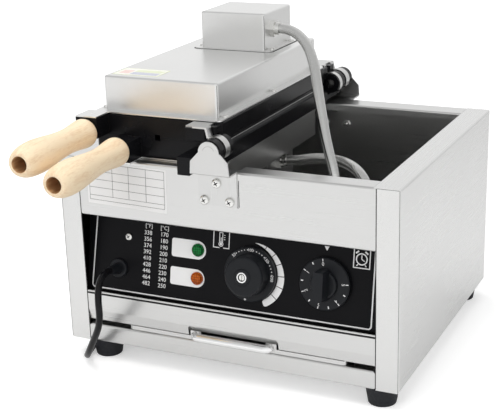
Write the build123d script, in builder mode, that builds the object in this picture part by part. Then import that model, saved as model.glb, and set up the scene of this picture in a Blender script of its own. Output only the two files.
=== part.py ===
from build123d import *
import math
import os

# Countertop maker for waffles on sticks.
# Two cast moulds close on each other at the left of an open steel case. They turn over
# together about a pin at the middle of the case, and the upper one also opens as a lid.
# Millimetres, +X to the right, +Y to the back, +Z up. The origin is on the table, under
# the middle of the space that the machine takes up without its mains lead.

os.makedirs("parts", exist_ok=True)

# Case
case_width = 370.0
case_depth = 322.0
case_height = 205.5
foot_height = 20.0
sheet = 1.2
bend = 2.2
seam = 0.2
front_flange = 23.5
side_rim = 26.0
bottom_flange = 15.0
front_rim = 22.5
rear_rim = 27.0
rim_lip = 8.0
band_height = 63.0
band_return = 12.0
rail_height = 19.5
rail_ledge = 6.5
strip_foot = 24.6
strip_fold = 36.0
strip_top = 55.6
strip_slant = 2.2
strip_corner = 4.0
recess_left = -42.0
recess_right = 59.0
recess_top = 35.5
recess_depth = 10.5
recess_foot = 26.0

# Control panel, which leans back at the top
panel_setback = 8.0
panel_foot = 57.4
panel_lean = 10.0
panel_width = 330.0
panel_length = 94.5
panel_thickness = 1.5

# Compartment behind the panel
deck_height = 150.0
compartment_depth = 120.0
compartment_floor = 30.0

# Knobs, lamps and gland on the panel: place across it, place up it
thermostat_place = (25.5, 40.0)
timer_place = (105.5, 41.0)
power_lamp_place = (-35.0, 56.5)
heat_lamp_place = (-35.0, 27.0)
gland_place = (-127.0, 26.0)
panel_screw_place = (-116.5, 60.5)
lamp_diameter = 13.3
lamp_rise = 4.0
shaft_diameter = 6.0
running_fit = 0.08
knob_gap = 0.5
thermostat_disc = 28.0
thermostat_grip = 21.5
timer_disc = 26.2
knob_disc_height = 6.0
thermostat_grip_height = 15.5
timer_grip_height = 18.0

# Feet
foot_top = 35.0
foot_bottom = 28.0
foot_inset_left = 35.0
foot_inset_right = 22.5
foot_inset_depth = 18.0

# Drip tray and its handle
tray_left = -113.0
tray_right = 131.0
tray_length = 298.0
tray_height = 4.4
tray_sheet = 1.0
tray_setback = 1.6
tray_gap = 0.3
tray_rod = 8.5
tray_handle_left = -33.75
tray_handle_right = 50.75
tray_handle_reach = 5.6
tray_rod_height = 25.5

# Hinge
hinge_rise = 23.0
pin_diameter = 10.0
pin_fit = 0.05
ring_radius = 12.0
bracket_sheet = 1.5
bracket_half_width = 21.0
bracket_reach = 19.5
bracket_leg = 35.5
dome_radius = 11.0
strap_thickness = 1.5
strap_gap = 0.1

# Moulds
mould_width = 144.5
mould_length = 273.0
mould_half = 21.5
mould_hinge_gap = 1.5
mould_setback = 14.0
mould_corner = 6.0
pocket_count = 5
pocket_pitch = 50.0
pocket_length = 112.0
pocket_width = 38.0
pocket_depth = 13.0
pocket_draft = 12.0
block_height = 6.0
block_size = 7.5
block_pitch = 12.5
block_draft = 9.0
stick_radius = 3.2
channel_width = 6.0
channel_depth = 3.0

# Covers, wiring boxes and heaters
cover_sheet = 1.2
cover_left = -138.5
cover_right = -10.0
cover_front = 24.0
cover_back = 277.0
cover_height = 36.0
flange_right = -2.5
box_sheet = 1.0
box_left = -108.0
box_right = -31.0
box_front = 184.0
box_back = 257.0
box_height = 41.0
box_flange = 8.5
heater_diameter = 8.0
heater_left = -95.0
heater_right = -50.0
heater_front = 50.0
heater_back = 220.0
heater_bend = 14.0
heater_terminal = 50.0

# Handles
handle_length = 122.0
handle_bore = 15.2
handle_rod = 8.0
handle_splay = 2.3
upper_handle_offset = 6.6
lower_handle_offset = 9.3
upper_lug = -141.0
lower_lug = -105.0
lug_width = 24.0
lug_reach = 24.0
collar_length = 1.0

# Conduits and mains lead
conduit_diameter = 11.5
ferrule_diameter = 17.0
ferrule_length = 10.0
upper_ferrule_height = 22.5
lower_ferrule_height = 15.5
ferrule_depth = 204.0
lower_ferrule_depth = 215.0
lead_diameter = 7.2
coil_radius = 46.0
coil_gap = 0.7
coil_centre_depth = 380.0

# How far the longest handle stands in front of the case
handle_reach = lug_reach - mould_setback + collar_length + handle_length
front = (handle_reach - case_depth - bracket_reach) / 2
back = front + case_depth
middle = (front + back) / 2
side = case_width / 2
ground = foot_height
rim = ground + case_height
hinge = rim + hinge_rise
mould_front = front + mould_setback
mould_back = mould_front + mould_length
mould_right = -mould_hinge_gap
mould_left = mould_right - mould_width
mould_centre = (mould_left + mould_right) / 2
parting = Plane.XY.offset(hinge)


def across(y):
    """Plane facing the front at depth y, drawn in x and z."""
    return Plane.XZ.offset(-y)


def along(x):
    """Plane facing right at x, drawn in y and z."""
    return Plane.YZ.offset(x)


def level(z):
    """Plane facing up at height z, drawn in x and y."""
    return Plane.XY.offset(z)


def slab(x0, x1, y0, y1, z0, z1, mode=Mode.ADD):
    """Block between two corners, in the block that is being built."""
    with Locations(((x0 + x1) / 2, (y0 + y1) / 2, (z0 + z1) / 2)):
        Box(x1 - x0, y1 - y0, z1 - z0, mode=mode)


def folded(plane, points, side_of_line, thickness=sheet, radius=bend):
    """Section of a folded sheet whose outer face runs through the points."""
    with BuildSketch(plane) as section:
        with BuildLine():
            FilletPolyline(*points, radius=radius)
            offset(amount=thickness, side=side_of_line)
        make_face()
    return section.sketch


def save(piece, name):
    """Name a finished piece and write it."""
    piece.part.label = name
    export_step(piece.part, f"parts/{name}.step")


def pan_screw(thread, length):
    """Pan-head screw at the origin, its head up and its shank down."""
    head_height = 0.6 * thread
    with BuildPart() as screw:
        with BuildSketch(Plane.XY):
            Circle(thread)
        extrude(amount=head_height)
        fillet(edges().group_by(Axis.Z)[-1], radius=0.8 * head_height)
        with BuildSketch(Plane.XY):
            Circle(thread / 2)
        extrude(amount=-length)
    return screw.part


def panel_plane(place=(0, 0), rise=0.0):
    """Plane on the control panel's face, or above it by rise, centred at a place on it."""
    lean = math.radians(panel_lean)
    out = Vector(0, -math.cos(lean), math.sin(lean))
    up = Vector(0, math.sin(lean), math.cos(lean))
    foot = Vector(0, front + panel_setback, ground + panel_foot)
    origin = foot + up * place[1] + out * rise + Vector(place[0], 0, 0)
    return Plane(origin=origin, x_dir=(1, 0, 0), z_dir=out)


def panel_back(height):
    """Depth of the panel's rear face at a height above the case bottom."""
    lean = math.radians(panel_lean)
    return front + panel_setback + (height - panel_foot) * math.tan(lean) + panel_thickness / math.cos(lean)


# Side panels: one folded sheet each, with flanges all round
with BuildPart() as right_side_panel:
    slab(side - side_rim, side, front, back, ground, rim)
    fillet(faces().sort_by(Axis.X)[-1].edges(), radius=bend)
    offset(amount=-sheet, openings=faces().sort_by(Axis.X)[0])
    slab(
        side - side_rim, side - front_flange, front - 1, back + 1, ground - 1, rim - sheet,
        mode=Mode.SUBTRACT,
    )
    slab(
        side - side_rim, side - bottom_flange, front + bend, back - bend, ground - 1, ground + bend,
        mode=Mode.SUBTRACT,
    )
save(right_side_panel, "right_side_panel")

with BuildPart() as left_side_panel:
    add(mirror(right_side_panel.part, about=Plane.YZ, mode=Mode.PRIVATE))
save(left_side_panel, "left_side_panel")

# Front band above the controls, folded back at the top as a rim
inner_half = side - front_flange - seam
rim_half = side - side_rim - seam
band_foot = rim - band_height
rim_gap_left = -38.5
rim_gap_right = 19.5
rim_gap_start = 10.0
notch_right = -22.0
notch_depth = 2.8
bracket_holes = [(-1.4, 12.3), (-15.3, 30.6), (12.2, 30.4)]
screw_hole = 5.4

with BuildPart() as front_band:
    profile = folded(
        along(-inner_half),
        [
            (front + band_return, band_foot),
            (front, band_foot),
            (front, rim),
            (front + front_rim, rim),
            (front + front_rim, rim - rim_lip),
        ],
        Side.RIGHT,
    )
    extrude(profile, amount=2 * inner_half)
    for end in (-1, 1):
        slab(
            min(end * rim_half, end * side), max(end * rim_half, end * side),
            front - 1, front + front_rim + 1, rim - rim_lip - 1, rim + 1,
            mode=Mode.SUBTRACT,
        )
        slab(
            min(end * rim_half, end * inner_half), max(end * rim_half, end * inner_half),
            front, front + sheet, rim - rim_lip - 1, rim - sheet - seam,
        )
    slab(
        rim_gap_left, rim_gap_right, front + rim_gap_start, front + front_rim + 1,
        rim - rim_lip - 1, rim + 1, mode=Mode.SUBTRACT,
    )
    slab(
        rim_gap_left, notch_right, front - 1, front + rim_gap_start + 1,
        rim - notch_depth, rim + 1, mode=Mode.SUBTRACT,
    )
    with BuildSketch(across(front)):
        for x, drop in bracket_holes:
            with Locations((x, rim - drop)):
                Circle(screw_hole / 2)
    extrude(amount=-2 * sheet, mode=Mode.SUBTRACT)
save(front_band, "front_band")

# Rear panel, full height, with a deeper rim
with BuildPart() as rear_panel:
    profile = folded(
        along(-inner_half),
        [
            (back - band_return, ground),
            (back, ground),
            (back, rim),
            (back - rear_rim, rim),
            (back - rear_rim, rim - rim_lip),
        ],
        Side.LEFT,
    )
    extrude(profile, amount=2 * inner_half)
    for end in (-1, 1):
        slab(
            min(end * rim_half, end * side), max(end * rim_half, end * side),
            back - rear_rim - 1, back + 1, rim - rim_lip - 1, rim + 1,
            mode=Mode.SUBTRACT,
        )
        slab(
            min(end * rim_half, end * inner_half), max(end * rim_half, end * inner_half),
            back - sheet, back, rim - rim_lip - 1, rim - sheet - seam,
        )
    with BuildSketch(across(back)):
        for x, drop in bracket_holes:
            with Locations((x, rim - drop)):
                Circle(screw_hole / 2)
    extrude(amount=2 * sheet, mode=Mode.SUBTRACT)
save(rear_panel, "rear_panel")

# Bottom sheet, resting on the flanges
base_margin = bend + 0.4
base_top = ground + 2 * sheet
with BuildPart() as base_pan:
    slab(
        -side + base_margin, side - base_margin, front + base_margin, back - base_margin,
        ground + sheet, base_top,
    )
    fillet(edges().filter_by(Axis.Z), radius=bend)
save(base_pan, "base_pan")

# Rail under the tray slot
with BuildPart() as lower_rail:
    profile = folded(
        along(-inner_half),
        [
            (front + bottom_flange, ground),
            (front, ground),
            (front, ground + rail_height),
            (front + rail_ledge, ground + rail_height),
        ],
        Side.RIGHT,
    )
    extrude(profile, amount=2 * inner_half)
    with BuildSketch(across(front - 1)) as outline:
        with BuildLine():
            Polyline(
                (-inner_half, ground), (inner_half, ground),
                (inner_half, ground + rail_height), (-inner_half, ground + rail_height),
                (-inner_half, ground),
            )
        make_face()
        fillet(outline.vertices().group_by(Axis.Z)[-1], radius=strip_corner)
    extrude(amount=-bottom_flange - 2, mode=Mode.INTERSECT)
save(lower_rail, "lower_rail")

# Strip between the tray slot and the panel, with a recess for the fingers
with BuildPart() as front_strip:
    profile = folded(
        along(-inner_half),
        [
            (front + panel_setback - 0.4, ground + strip_top),
            (front, ground + strip_top),
            (front, ground + strip_fold),
            (front + strip_slant, ground + strip_foot),
        ],
        Side.LEFT,
        radius=1.6,
    )
    extrude(profile, amount=2 * inner_half)
    with BuildSketch(across(front - 1)) as outline:
        with Locations((0, ground + (strip_top + strip_foot) / 2)):
            Rectangle(2 * inner_half, strip_top - strip_foot + 2 * sheet)
        fillet(outline.vertices().group_by(Axis.Z)[-1], radius=strip_corner)
    extrude(amount=-panel_setback - 2, mode=Mode.INTERSECT)
    with BuildSketch(across(front - 1)) as opening:
        with Locations(((recess_left + recess_right) / 2, ground + recess_top - recess_depth)):
            Rectangle(recess_right - recess_left, 2 * recess_depth)
        fillet(opening.vertices().group_by(Axis.Z)[-1], radius=strip_corner)
    extrude(amount=-strip_slant - 3, mode=Mode.SUBTRACT)
    with BuildSketch(along(recess_left - tray_sheet)):
        with BuildLine():
            Polyline(
                (front + sheet, ground + recess_top + sheet),
                (front + sheet, ground + recess_top),
                (front + sheet + recess_depth, ground + recess_foot),
                (front + sheet + recess_depth + tray_sheet, ground + recess_foot + tray_sheet),
                (front + sheet, ground + recess_top + sheet),
            )
        make_face()
    extrude(amount=recess_right - recess_left + 2 * tray_sheet)
    for cheek in (recess_left - tray_sheet, recess_right):
        with BuildSketch(along(cheek)):
            with BuildLine():
                Polyline(
                    (front + sheet, ground + recess_top),
                    (front + sheet + recess_depth, ground + recess_foot),
                    (front + strip_slant + sheet, ground + recess_foot),
                    (front + sheet, ground + recess_top),
                )
            make_face()
        extrude(amount=tray_sheet)
save(front_strip, "front_strip")

# Ledge that carries the foot of the panel
ledge_drop = 12.0
with BuildPart() as panel_ledge:
    profile = folded(
        along(-inner_half),
        [
            (front, ground + panel_foot),
            (front + panel_setback + 2 * sheet, ground + panel_foot),
            (front + panel_setback + 2 * sheet, ground + panel_foot - ledge_drop),
        ],
        Side.RIGHT,
        radius=1.6,
    )
    extrude(profile, amount=2 * inner_half)
save(panel_ledge, "panel_ledge")

# Control panel with holes for what stands on it
bush_hole = 10.4
lamp_hole = lamp_diameter - 1.2
gland_hole = 12.4
panel_seat = panel_thickness * math.tan(math.radians(panel_lean)) + 0.05
with BuildPart() as control_panel:
    with BuildSketch(panel_plane()):
        with Locations((0, (panel_seat + panel_length) / 2)):
            Rectangle(panel_width, panel_length - panel_seat)
        with Locations(thermostat_place, timer_place):
            Circle(bush_hole / 2, mode=Mode.SUBTRACT)
        with Locations(power_lamp_place, heat_lamp_place):
            Circle(lamp_hole / 2, mode=Mode.SUBTRACT)
        with Locations(gland_place):
            Circle(gland_hole / 2, mode=Mode.SUBTRACT)
        with Locations(panel_screw_place):
            Circle(2.2, mode=Mode.SUBTRACT)
    extrude(amount=-panel_thickness)
save(control_panel, "control_panel")

# Sheet that closes the compartment behind the panel
shield_half = side - sheet - seam
with BuildPart() as compartment_shield:
    profile = folded(
        along(-shield_half),
        [
            (panel_back(deck_height) + 0.3, ground + deck_height),
            (front + compartment_depth, ground + deck_height),
            (front + compartment_depth, ground + compartment_floor),
            (front + panel_setback + 5.5, ground + compartment_floor),
        ],
        Side.RIGHT,
    )
    extrude(profile, amount=2 * shield_half)
save(compartment_shield, "compartment_shield")

# Runners that carry the drip tray
runner_reach = 12.0
runner_gap = 1.8
with BuildPart() as tray_runners:
    for edge, way in ((tray_left, -1), (tray_right, 1)):
        web = edge + way * runner_gap
        ledge_end = web - way * (runner_reach - sheet)
        foot_end = web + way * (runner_reach + sheet)
        web_end = web + way * sheet
        slab(
            min(web, web_end), max(web, web_end), front + bottom_flange + 2, back - rear_rim,
            base_top, ground + strip_foot - sheet,
        )
        slab(
            min(web, ledge_end), max(web, ledge_end), front + bottom_flange + 2, back - rear_rim,
            ground + rail_height - sheet, ground + rail_height,
        )
        slab(
            min(web, foot_end), max(web, foot_end), front + bottom_flange + 2, back - rear_rim,
            base_top, base_top + sheet,
        )
save(tray_runners, "tray_runners")

# Rubber feet, tapered, with a screw well underneath
foot_spots = [
    (-side + foot_inset_left, front + foot_inset_depth),
    (side - foot_inset_right, front + foot_inset_depth),
    (-side + foot_inset_left, back - foot_inset_depth),
    (side - foot_inset_right, back - foot_inset_depth),
]
foot_well = 12.0
foot_well_depth = 12.0
foot_bolt = 5.0
with BuildPart() as feet:
    for spot in foot_spots:
        with BuildSketch(level(0)):
            with Locations(spot):
                Circle(foot_bottom / 2)
        with BuildSketch(level(ground)):
            with Locations(spot):
                Circle(foot_top / 2)
        loft()
    fillet(edges().filter_by(GeomType.CIRCLE).group_by(Axis.Z)[0], radius=1.5)
    with BuildSketch(level(0)):
        with Locations(*foot_spots):
            Circle(foot_well / 2)
    extrude(amount=foot_well_depth, mode=Mode.SUBTRACT)
    with BuildSketch(level(0)):
        with Locations(*foot_spots):
            Circle(foot_bolt / 2 + 0.2)
    extrude(amount=ground, mode=Mode.SUBTRACT)
save(feet, "feet")

foot_screw = pan_screw(foot_bolt, ground - foot_well_depth - 0.1)
with BuildPart() as foot_screws:
    with Locations(*[Plane(origin=(x, y, foot_well_depth), x_dir=(1, 0, 0), z_dir=(0, 0, -1))
                     for x, y in foot_spots]):
        add(foot_screw)
save(foot_screws, "foot_screws")

# Drip tray with turned-up walls and two lugs for its handle
tray_front = front + tray_setback
tray_bottom = ground + rail_height + tray_gap
lug_half = 6.0
lug_top = ground + tray_rod_height + tray_rod / 2
with BuildPart() as drip_tray:
    slab(tray_left, tray_right, tray_front, tray_front + tray_length, tray_bottom, tray_bottom + tray_height)
    fillet(edges().filter_by(Axis.Z), radius=4.0)
    offset(amount=-tray_sheet, openings=faces().sort_by(Axis.Z)[-1])
    for x in (tray_handle_left, tray_handle_right):
        slab(x - lug_half, x + lug_half, tray_front, tray_front + 1.5 * tray_sheet, tray_bottom, lug_top)
save(drip_tray, "drip_tray")

# Bent rod that pulls the tray
rod_bend = 5.4
rod_height = ground + tray_rod_height
with BuildPart() as tray_handle:
    with BuildLine() as bar:
        FilletPolyline(
            (tray_handle_left, tray_front, rod_height),
            (tray_handle_left, tray_front - tray_handle_reach, rod_height),
            (tray_handle_right, tray_front - tray_handle_reach, rod_height),
            (tray_handle_right, tray_front, rod_height),
            radius=rod_bend,
        )
    with BuildSketch(Plane(origin=bar.line @ 0, z_dir=bar.line % 0)):
        Circle(tray_rod / 2)
    sweep()
save(tray_handle, "tray_handle")

# Hinge brackets: a leg on the case, a shelf and an upright plate with a domed top
plate_shoulder = 13.5
leg_left = -22.0
leg_right = 20.0


def bracket(face, way, name):
    """Bracket on a case face; way is -1 at the front and 1 at the back."""
    outer = face + way * bracket_sheet
    tip = face + way * bracket_reach
    with BuildPart() as piece:
        section = folded(
            along(leg_left),
            [
                (outer, rim - bracket_leg),
                (outer, rim + 0.1),
                (tip, rim + 0.1),
                (tip, hinge + dome_radius + 1),
            ],
            Side.RIGHT if way < 0 else Side.LEFT,
            thickness=bracket_sheet,
            radius=2.0,
        )
        extrude(section, amount=bracket_half_width - leg_left)
        with BuildSketch(across(min(outer, tip) - 2)) as outline:
            with Locations(((leg_left + leg_right) / 2, rim - bracket_leg / 2)):
                Rectangle(leg_right - leg_left, bracket_leg)
            with BuildLine():
                Polyline(
                    (-bracket_half_width, rim),
                    (bracket_half_width, rim),
                    (bracket_half_width - 1, rim + plate_shoulder),
                    (dome_radius, hinge),
                    (-dome_radius, hinge),
                    (1 - bracket_half_width, rim + plate_shoulder),
                    (-bracket_half_width, rim),
                )
            make_face()
            with Locations((0, hinge)):
                Circle(dome_radius)
        extrude(amount=-bracket_reach - 6, mode=Mode.INTERSECT)
        with BuildSketch(across(face - way)):
            for x, drop in bracket_holes:
                with Locations((x, rim - drop)):
                    Circle(screw_hole / 2)
        extrude(amount=-way * 4, mode=Mode.SUBTRACT)
    save(piece, name)


bracket(front, -1, "front_hinge_bracket")
bracket(back, 1, "rear_hinge_bracket")

bracket_screw = pan_screw(5.0, 6.0)
front_seats = [
    Plane(origin=(x, front - bracket_sheet, rim - drop), x_dir=(1, 0, 0), z_dir=(0, -1, 0))
    for x, drop in bracket_holes
]
rear_seats = [
    Plane(origin=(x, back + bracket_sheet, rim - drop), x_dir=(1, 0, 0), z_dir=(0, 1, 0))
    for x, drop in bracket_holes
]
with BuildPart() as bracket_screws:
    with Locations(*front_seats, *rear_seats):
        add(bracket_screw)
save(bracket_screws, "bracket_screws")

# Two pins, each welded to the back of its bracket's domed plate
pin_start = front - bracket_reach + bracket_sheet
pin_end = back + bracket_reach - bracket_sheet
front_rings = [(front - 17.5, front - 8.5), (front + 4.0, front + 12.0)]
front_knuckles = [(front - 7.2, front + 2.7)]
rear_rings = [(back - 15.0, back - 5.0), (back + 8.5, back + 17.5)]
rear_knuckles = [(back - 24.0, back - 16.3), (back - 3.7, back + 7.2)]
with BuildPart() as hinge_pins:
    with BuildSketch(across(pin_start)):
        with Locations((0, hinge)):
            Circle(pin_diameter / 2)
    extrude(amount=-(front_rings[-1][1] + 0.5 - pin_start))
    with BuildSketch(across(pin_end)):
        with Locations((0, hinge)):
            Circle(pin_diameter / 2)
    extrude(amount=pin_end - rear_knuckles[0][0] + 0.5)
save(hinge_pins, "hinge_pins")

# Moulds: two castings, alike in their cavities and apart in their hinge arms and lugs.
# Each cavity is a rounded trough with rows of tapered blocks that press the waffle
# pattern, and a half-round groove that the stick lies in.
pocket_spots = [
    (mould_centre, mould_front + mould_length / 2 + (n - (pocket_count - 1) / 2) * pocket_pitch)
    for n in range(pocket_count)
]
block_columns = 8
block_rows = 2
mould_top = hinge + mould_half


def upper_casting():
    """Upper casting without its hinge arms and handle lug, cavities facing down."""
    with BuildPart() as casting:
        slab(mould_left, mould_right, mould_front, mould_back, hinge, mould_top)
        fillet(edges().filter_by(Axis.Z), radius=mould_corner)
        chamfer(faces().sort_by(Axis.Z)[-1].edges(), length=1.5)
        with BuildSketch(level(hinge)):
            with Locations(*pocket_spots):
                SlotOverall(pocket_length, pocket_width)
        extrude(amount=pocket_depth, taper=pocket_draft, mode=Mode.SUBTRACT)
        with BuildSketch(level(hinge + pocket_depth)):
            with Locations(*pocket_spots):
                with GridLocations(block_pitch, block_pitch, block_columns, block_rows):
                    Rectangle(block_size, block_size)
        extrude(amount=-block_height, taper=block_draft)
        with BuildSketch(along(mould_left)):
            with Locations(*[(y, hinge) for x, y in pocket_spots]):
                Circle(stick_radius)
        extrude(amount=mould_width / 2 - pocket_length / 2 + 4, mode=Mode.SUBTRACT)
        slab(
            mould_centre - channel_width / 2, mould_centre + channel_width / 2,
            mould_front - 1, pocket_spots[-1][1], hinge, hinge + channel_depth,
            mode=Mode.SUBTRACT,
        )
    return casting.part


casting_form = upper_casting()


def barrel(start, end, radius):
    """Round of the given radius about the hinge line between two depths."""
    with BuildPart() as piece:
        with BuildSketch(across(start)):
            with Locations((0, hinge)):
                Circle(radius)
        extrude(amount=start - end)
    return piece.part


def handle_plane(lug, height, distance=0.0):
    """Plane square to a handle, at a distance along it from the front of its lug."""
    splay = math.radians(handle_splay)
    out = Vector(math.sin(splay), -math.cos(splay), 0)
    start = Vector(lug, mould_front - lug_reach, height)
    return Plane(origin=start + out * distance, x_dir=(0, 0, 1), z_dir=out)


rod_depth = 12.0
upper_handle_height = hinge + upper_handle_offset
lower_handle_height = hinge - lower_handle_offset


# Lower mould: its arms run under the pins and rise into rings at both ends
arm_left = -35.5
arm_right = -3.0
arm_foot_right = -22.5
arm_foot_gap = 0.3
lower_arm_bottom = rim + 3.5
lower_arm_top = rim + 15.5
ring_gap = 0.7
knuckle_radius = ring_radius - 0.7
strap_outer = knuckle_radius + strap_gap + strap_thickness
strap_clearance = strap_outer + 1.2

with BuildPart() as lower_mould:
    add(mirror(casting_form, about=parting, mode=Mode.PRIVATE))
    slab(arm_left, arm_right, front_rings[0][0], mould_front + 2, lower_arm_bottom, lower_arm_top)
    slab(
        arm_left, arm_foot_right, front_rings[0][0], mould_front - arm_foot_gap,
        rim - notch_depth + arm_foot_gap, lower_arm_top,
    )
    slab(arm_left, arm_right, mould_back - 2, rear_rings[-1][1], lower_arm_bottom, lower_arm_top)
    for start, end in front_knuckles + rear_knuckles:
        add(barrel(start - ring_gap, end + ring_gap, strap_clearance), mode=Mode.SUBTRACT)
    for start, end in front_rings + rear_rings:
        add(barrel(start, end, ring_radius))
    slab(
        lower_lug - lug_width / 2, lower_lug + lug_width / 2,
        mould_front - lug_reach, mould_front + 1, hinge - mould_half, hinge - 0.5,
    )
    with BuildSketch(handle_plane(lower_lug, lower_handle_height)):
        Circle(handle_rod / 2)
    extrude(amount=-rod_depth, both=True, mode=Mode.SUBTRACT)
    add(barrel(pin_start - 1, pin_end + 1, pin_diameter / 2 + pin_fit), mode=Mode.SUBTRACT)
save(lower_mould, "lower_mould")

# Upper mould: arms above the pins, with barrels between the rings
upper_arm_left = -31.0
upper_arm_bottom = hinge + 7.5
upper_arm_top = hinge + 19.5
strap_step = -9.5
neck_left = -13.0
neck_right = -7.7
neck_bottom = 4.0
neck_top = 9.5
upper_arm_start = front_knuckles[0][0]
upper_arm_end = rear_knuckles[-1][1]
with BuildPart() as upper_mould:
    add(casting_form)
    slab(
        upper_arm_left, arm_right, upper_arm_start, mould_front + 2, upper_arm_bottom, upper_arm_top
    )
    slab(upper_arm_left, arm_right, mould_back - 2, upper_arm_end, upper_arm_bottom, upper_arm_top)
    for start, end in front_rings + rear_rings:
        add(barrel(start - ring_gap, end + ring_gap, ring_radius + 0.8), mode=Mode.SUBTRACT)
    for start, end in front_knuckles + rear_knuckles:
        slab(
            strap_step - strap_gap, arm_right + 1, start - ring_gap, end + ring_gap,
            upper_arm_bottom - 1, upper_arm_top + 1, mode=Mode.SUBTRACT,
        )
        add(barrel(start, end, knuckle_radius))
        slab(neck_left, neck_right, start, end, hinge + neck_bottom, hinge + neck_top)
    slab(
        upper_lug - lug_width / 2, upper_lug + lug_width / 2,
        mould_front - lug_reach, mould_front + 1, hinge + 0.5, mould_top,
    )
    with BuildSketch(handle_plane(upper_lug, upper_handle_height)):
        Circle(handle_rod / 2)
    extrude(amount=-rod_depth, both=True, mode=Mode.SUBTRACT)
    add(barrel(pin_start - 1, pin_end + 1, pin_diameter / 2 + pin_fit), mode=Mode.SUBTRACT)
save(upper_mould, "upper_mould")

# Steel straps of the upper hinge: a flat plate on each arm that steps down and wraps
# over the barrel
strap_wrap_drop = 7.0


def strap_section(start, width):
    """Hook of a strap over its barrel, from one depth to the next."""
    with BuildPart() as hook:
        with BuildSketch(across(start)):
            with Locations((0, hinge)):
                Circle(strap_outer)
                Circle(knuckle_radius + strap_gap, mode=Mode.SUBTRACT)
            with Locations((-strap_outer, hinge - strap_outer / 2)):
                Rectangle(2 * strap_outer - 12, 3 * strap_outer, mode=Mode.SUBTRACT)
            with Locations((0, hinge - strap_wrap_drop - strap_outer)):
                Rectangle(4 * strap_outer, 2 * strap_outer, mode=Mode.SUBTRACT)
            with BuildLine():
                Polyline(
                    (strap_step, upper_arm_top + strap_thickness),
                    (strap_step + 1.9, upper_arm_top + strap_thickness),
                    (strap_step + 4.1, hinge + strap_outer - 1.6),
                    (strap_step + 2.1, hinge + strap_outer - 2.4),
                    (strap_step, upper_arm_top),
                    (strap_step, upper_arm_top + strap_thickness),
                )
            make_face()
        extrude(amount=-width)
    return hook.part


with BuildPart() as hinge_straps:
    slab(
        upper_arm_left, strap_step, front - 4.5, mould_front - 1,
        upper_arm_top, upper_arm_top + strap_thickness,
    )
    slab(
        upper_arm_left, strap_step, mould_back + 1, rear_knuckles[-1][1] - 1,
        upper_arm_top, upper_arm_top + strap_thickness,
    )
    for start, end in front_knuckles + rear_knuckles:
        slab(
            upper_arm_left + 8, strap_step, start + 0.2, end - 0.2,
            upper_arm_top, upper_arm_top + strap_thickness,
        )
        add(strap_section(start + 0.2, end - start - 0.4))
save(hinge_straps, "hinge_straps")

# Covers: folded boxes over the castings, with a flange and a tab over the handle lug
cover_corner = 3.0
cover_base = mould_top
cover_top = cover_base + cover_height
riser_hole = 14.0
riser_spots = [(heater_left, front + heater_back), (heater_right, front + heater_back)]
cover_screw_size = 3.0
tab_screw_head = 6.2
flange_screws = [
    (x, y)
    for x in ((cover_right + flange_right) / 2, (cover_left + mould_left) / 2)
    for y in (mould_front + 18, mould_front + mould_length / 2, mould_back - 18)
]


def cover_form(lug):
    """Upper cover with its tab over the lug at x."""
    with BuildPart() as form:
        slab(cover_left, cover_right, front + cover_front, front + cover_back, cover_base, cover_top)
        fillet(edges().filter_by(Axis.Z), radius=cover_corner)
        fillet(faces().sort_by(Axis.Z)[-1].edges(), radius=bend)
        offset(amount=-cover_sheet, openings=faces().sort_by(Axis.Z)[0])
        with BuildSketch(level(cover_base)) as flange:
            with Locations(((mould_left + flange_right) / 2, (mould_front + mould_back) / 2)):
                Rectangle(flange_right - mould_left, mould_length)
            fillet(flange.vertices(), radius=mould_corner)
            with Locations((lug, mould_front - lug_reach + (lug_reach + 2) / 2)):
                Rectangle(lug_width, lug_reach + 2)
            with Locations((
                (cover_left + cover_right) / 2, front + (cover_front + cover_back) / 2
            )):
                Rectangle(
                    cover_right - cover_left - 2 * cover_sheet,
                    cover_back - cover_front - 2 * cover_sheet,
                    mode=Mode.SUBTRACT,
                )
            with Locations(*flange_screws):
                Circle(cover_screw_size / 2 + 0.2, mode=Mode.SUBTRACT)
            with Locations((lug, mould_front - lug_reach / 2)):
                Circle(tab_screw_head / 2 + 0.1, mode=Mode.SUBTRACT)
        extrude(amount=cover_sheet)
        with BuildSketch(level(cover_top)):
            with Locations(*riser_spots):
                Circle(riser_hole / 2)
        extrude(amount=-2 * cover_sheet, mode=Mode.SUBTRACT)
    return form.part


with BuildPart() as upper_cover:
    add(cover_form(upper_lug))
save(upper_cover, "upper_cover")

with BuildPart() as lower_cover:
    add(mirror(cover_form(lower_lug), about=parting, mode=Mode.PRIVATE))
save(lower_cover, "lower_cover")

# Wiring boxes: small folded boxes on the covers, with a rounded flange
flange_side = 4.0
box_corner = 2.5
box_flange_corner = 6.0
box_hole = 12.4
box_screws = [
    (x, front + y)
    for x in (box_left - box_flange / 2, box_right + box_flange / 2)
    for y in (box_front + 10, box_back - 10)
]


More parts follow.
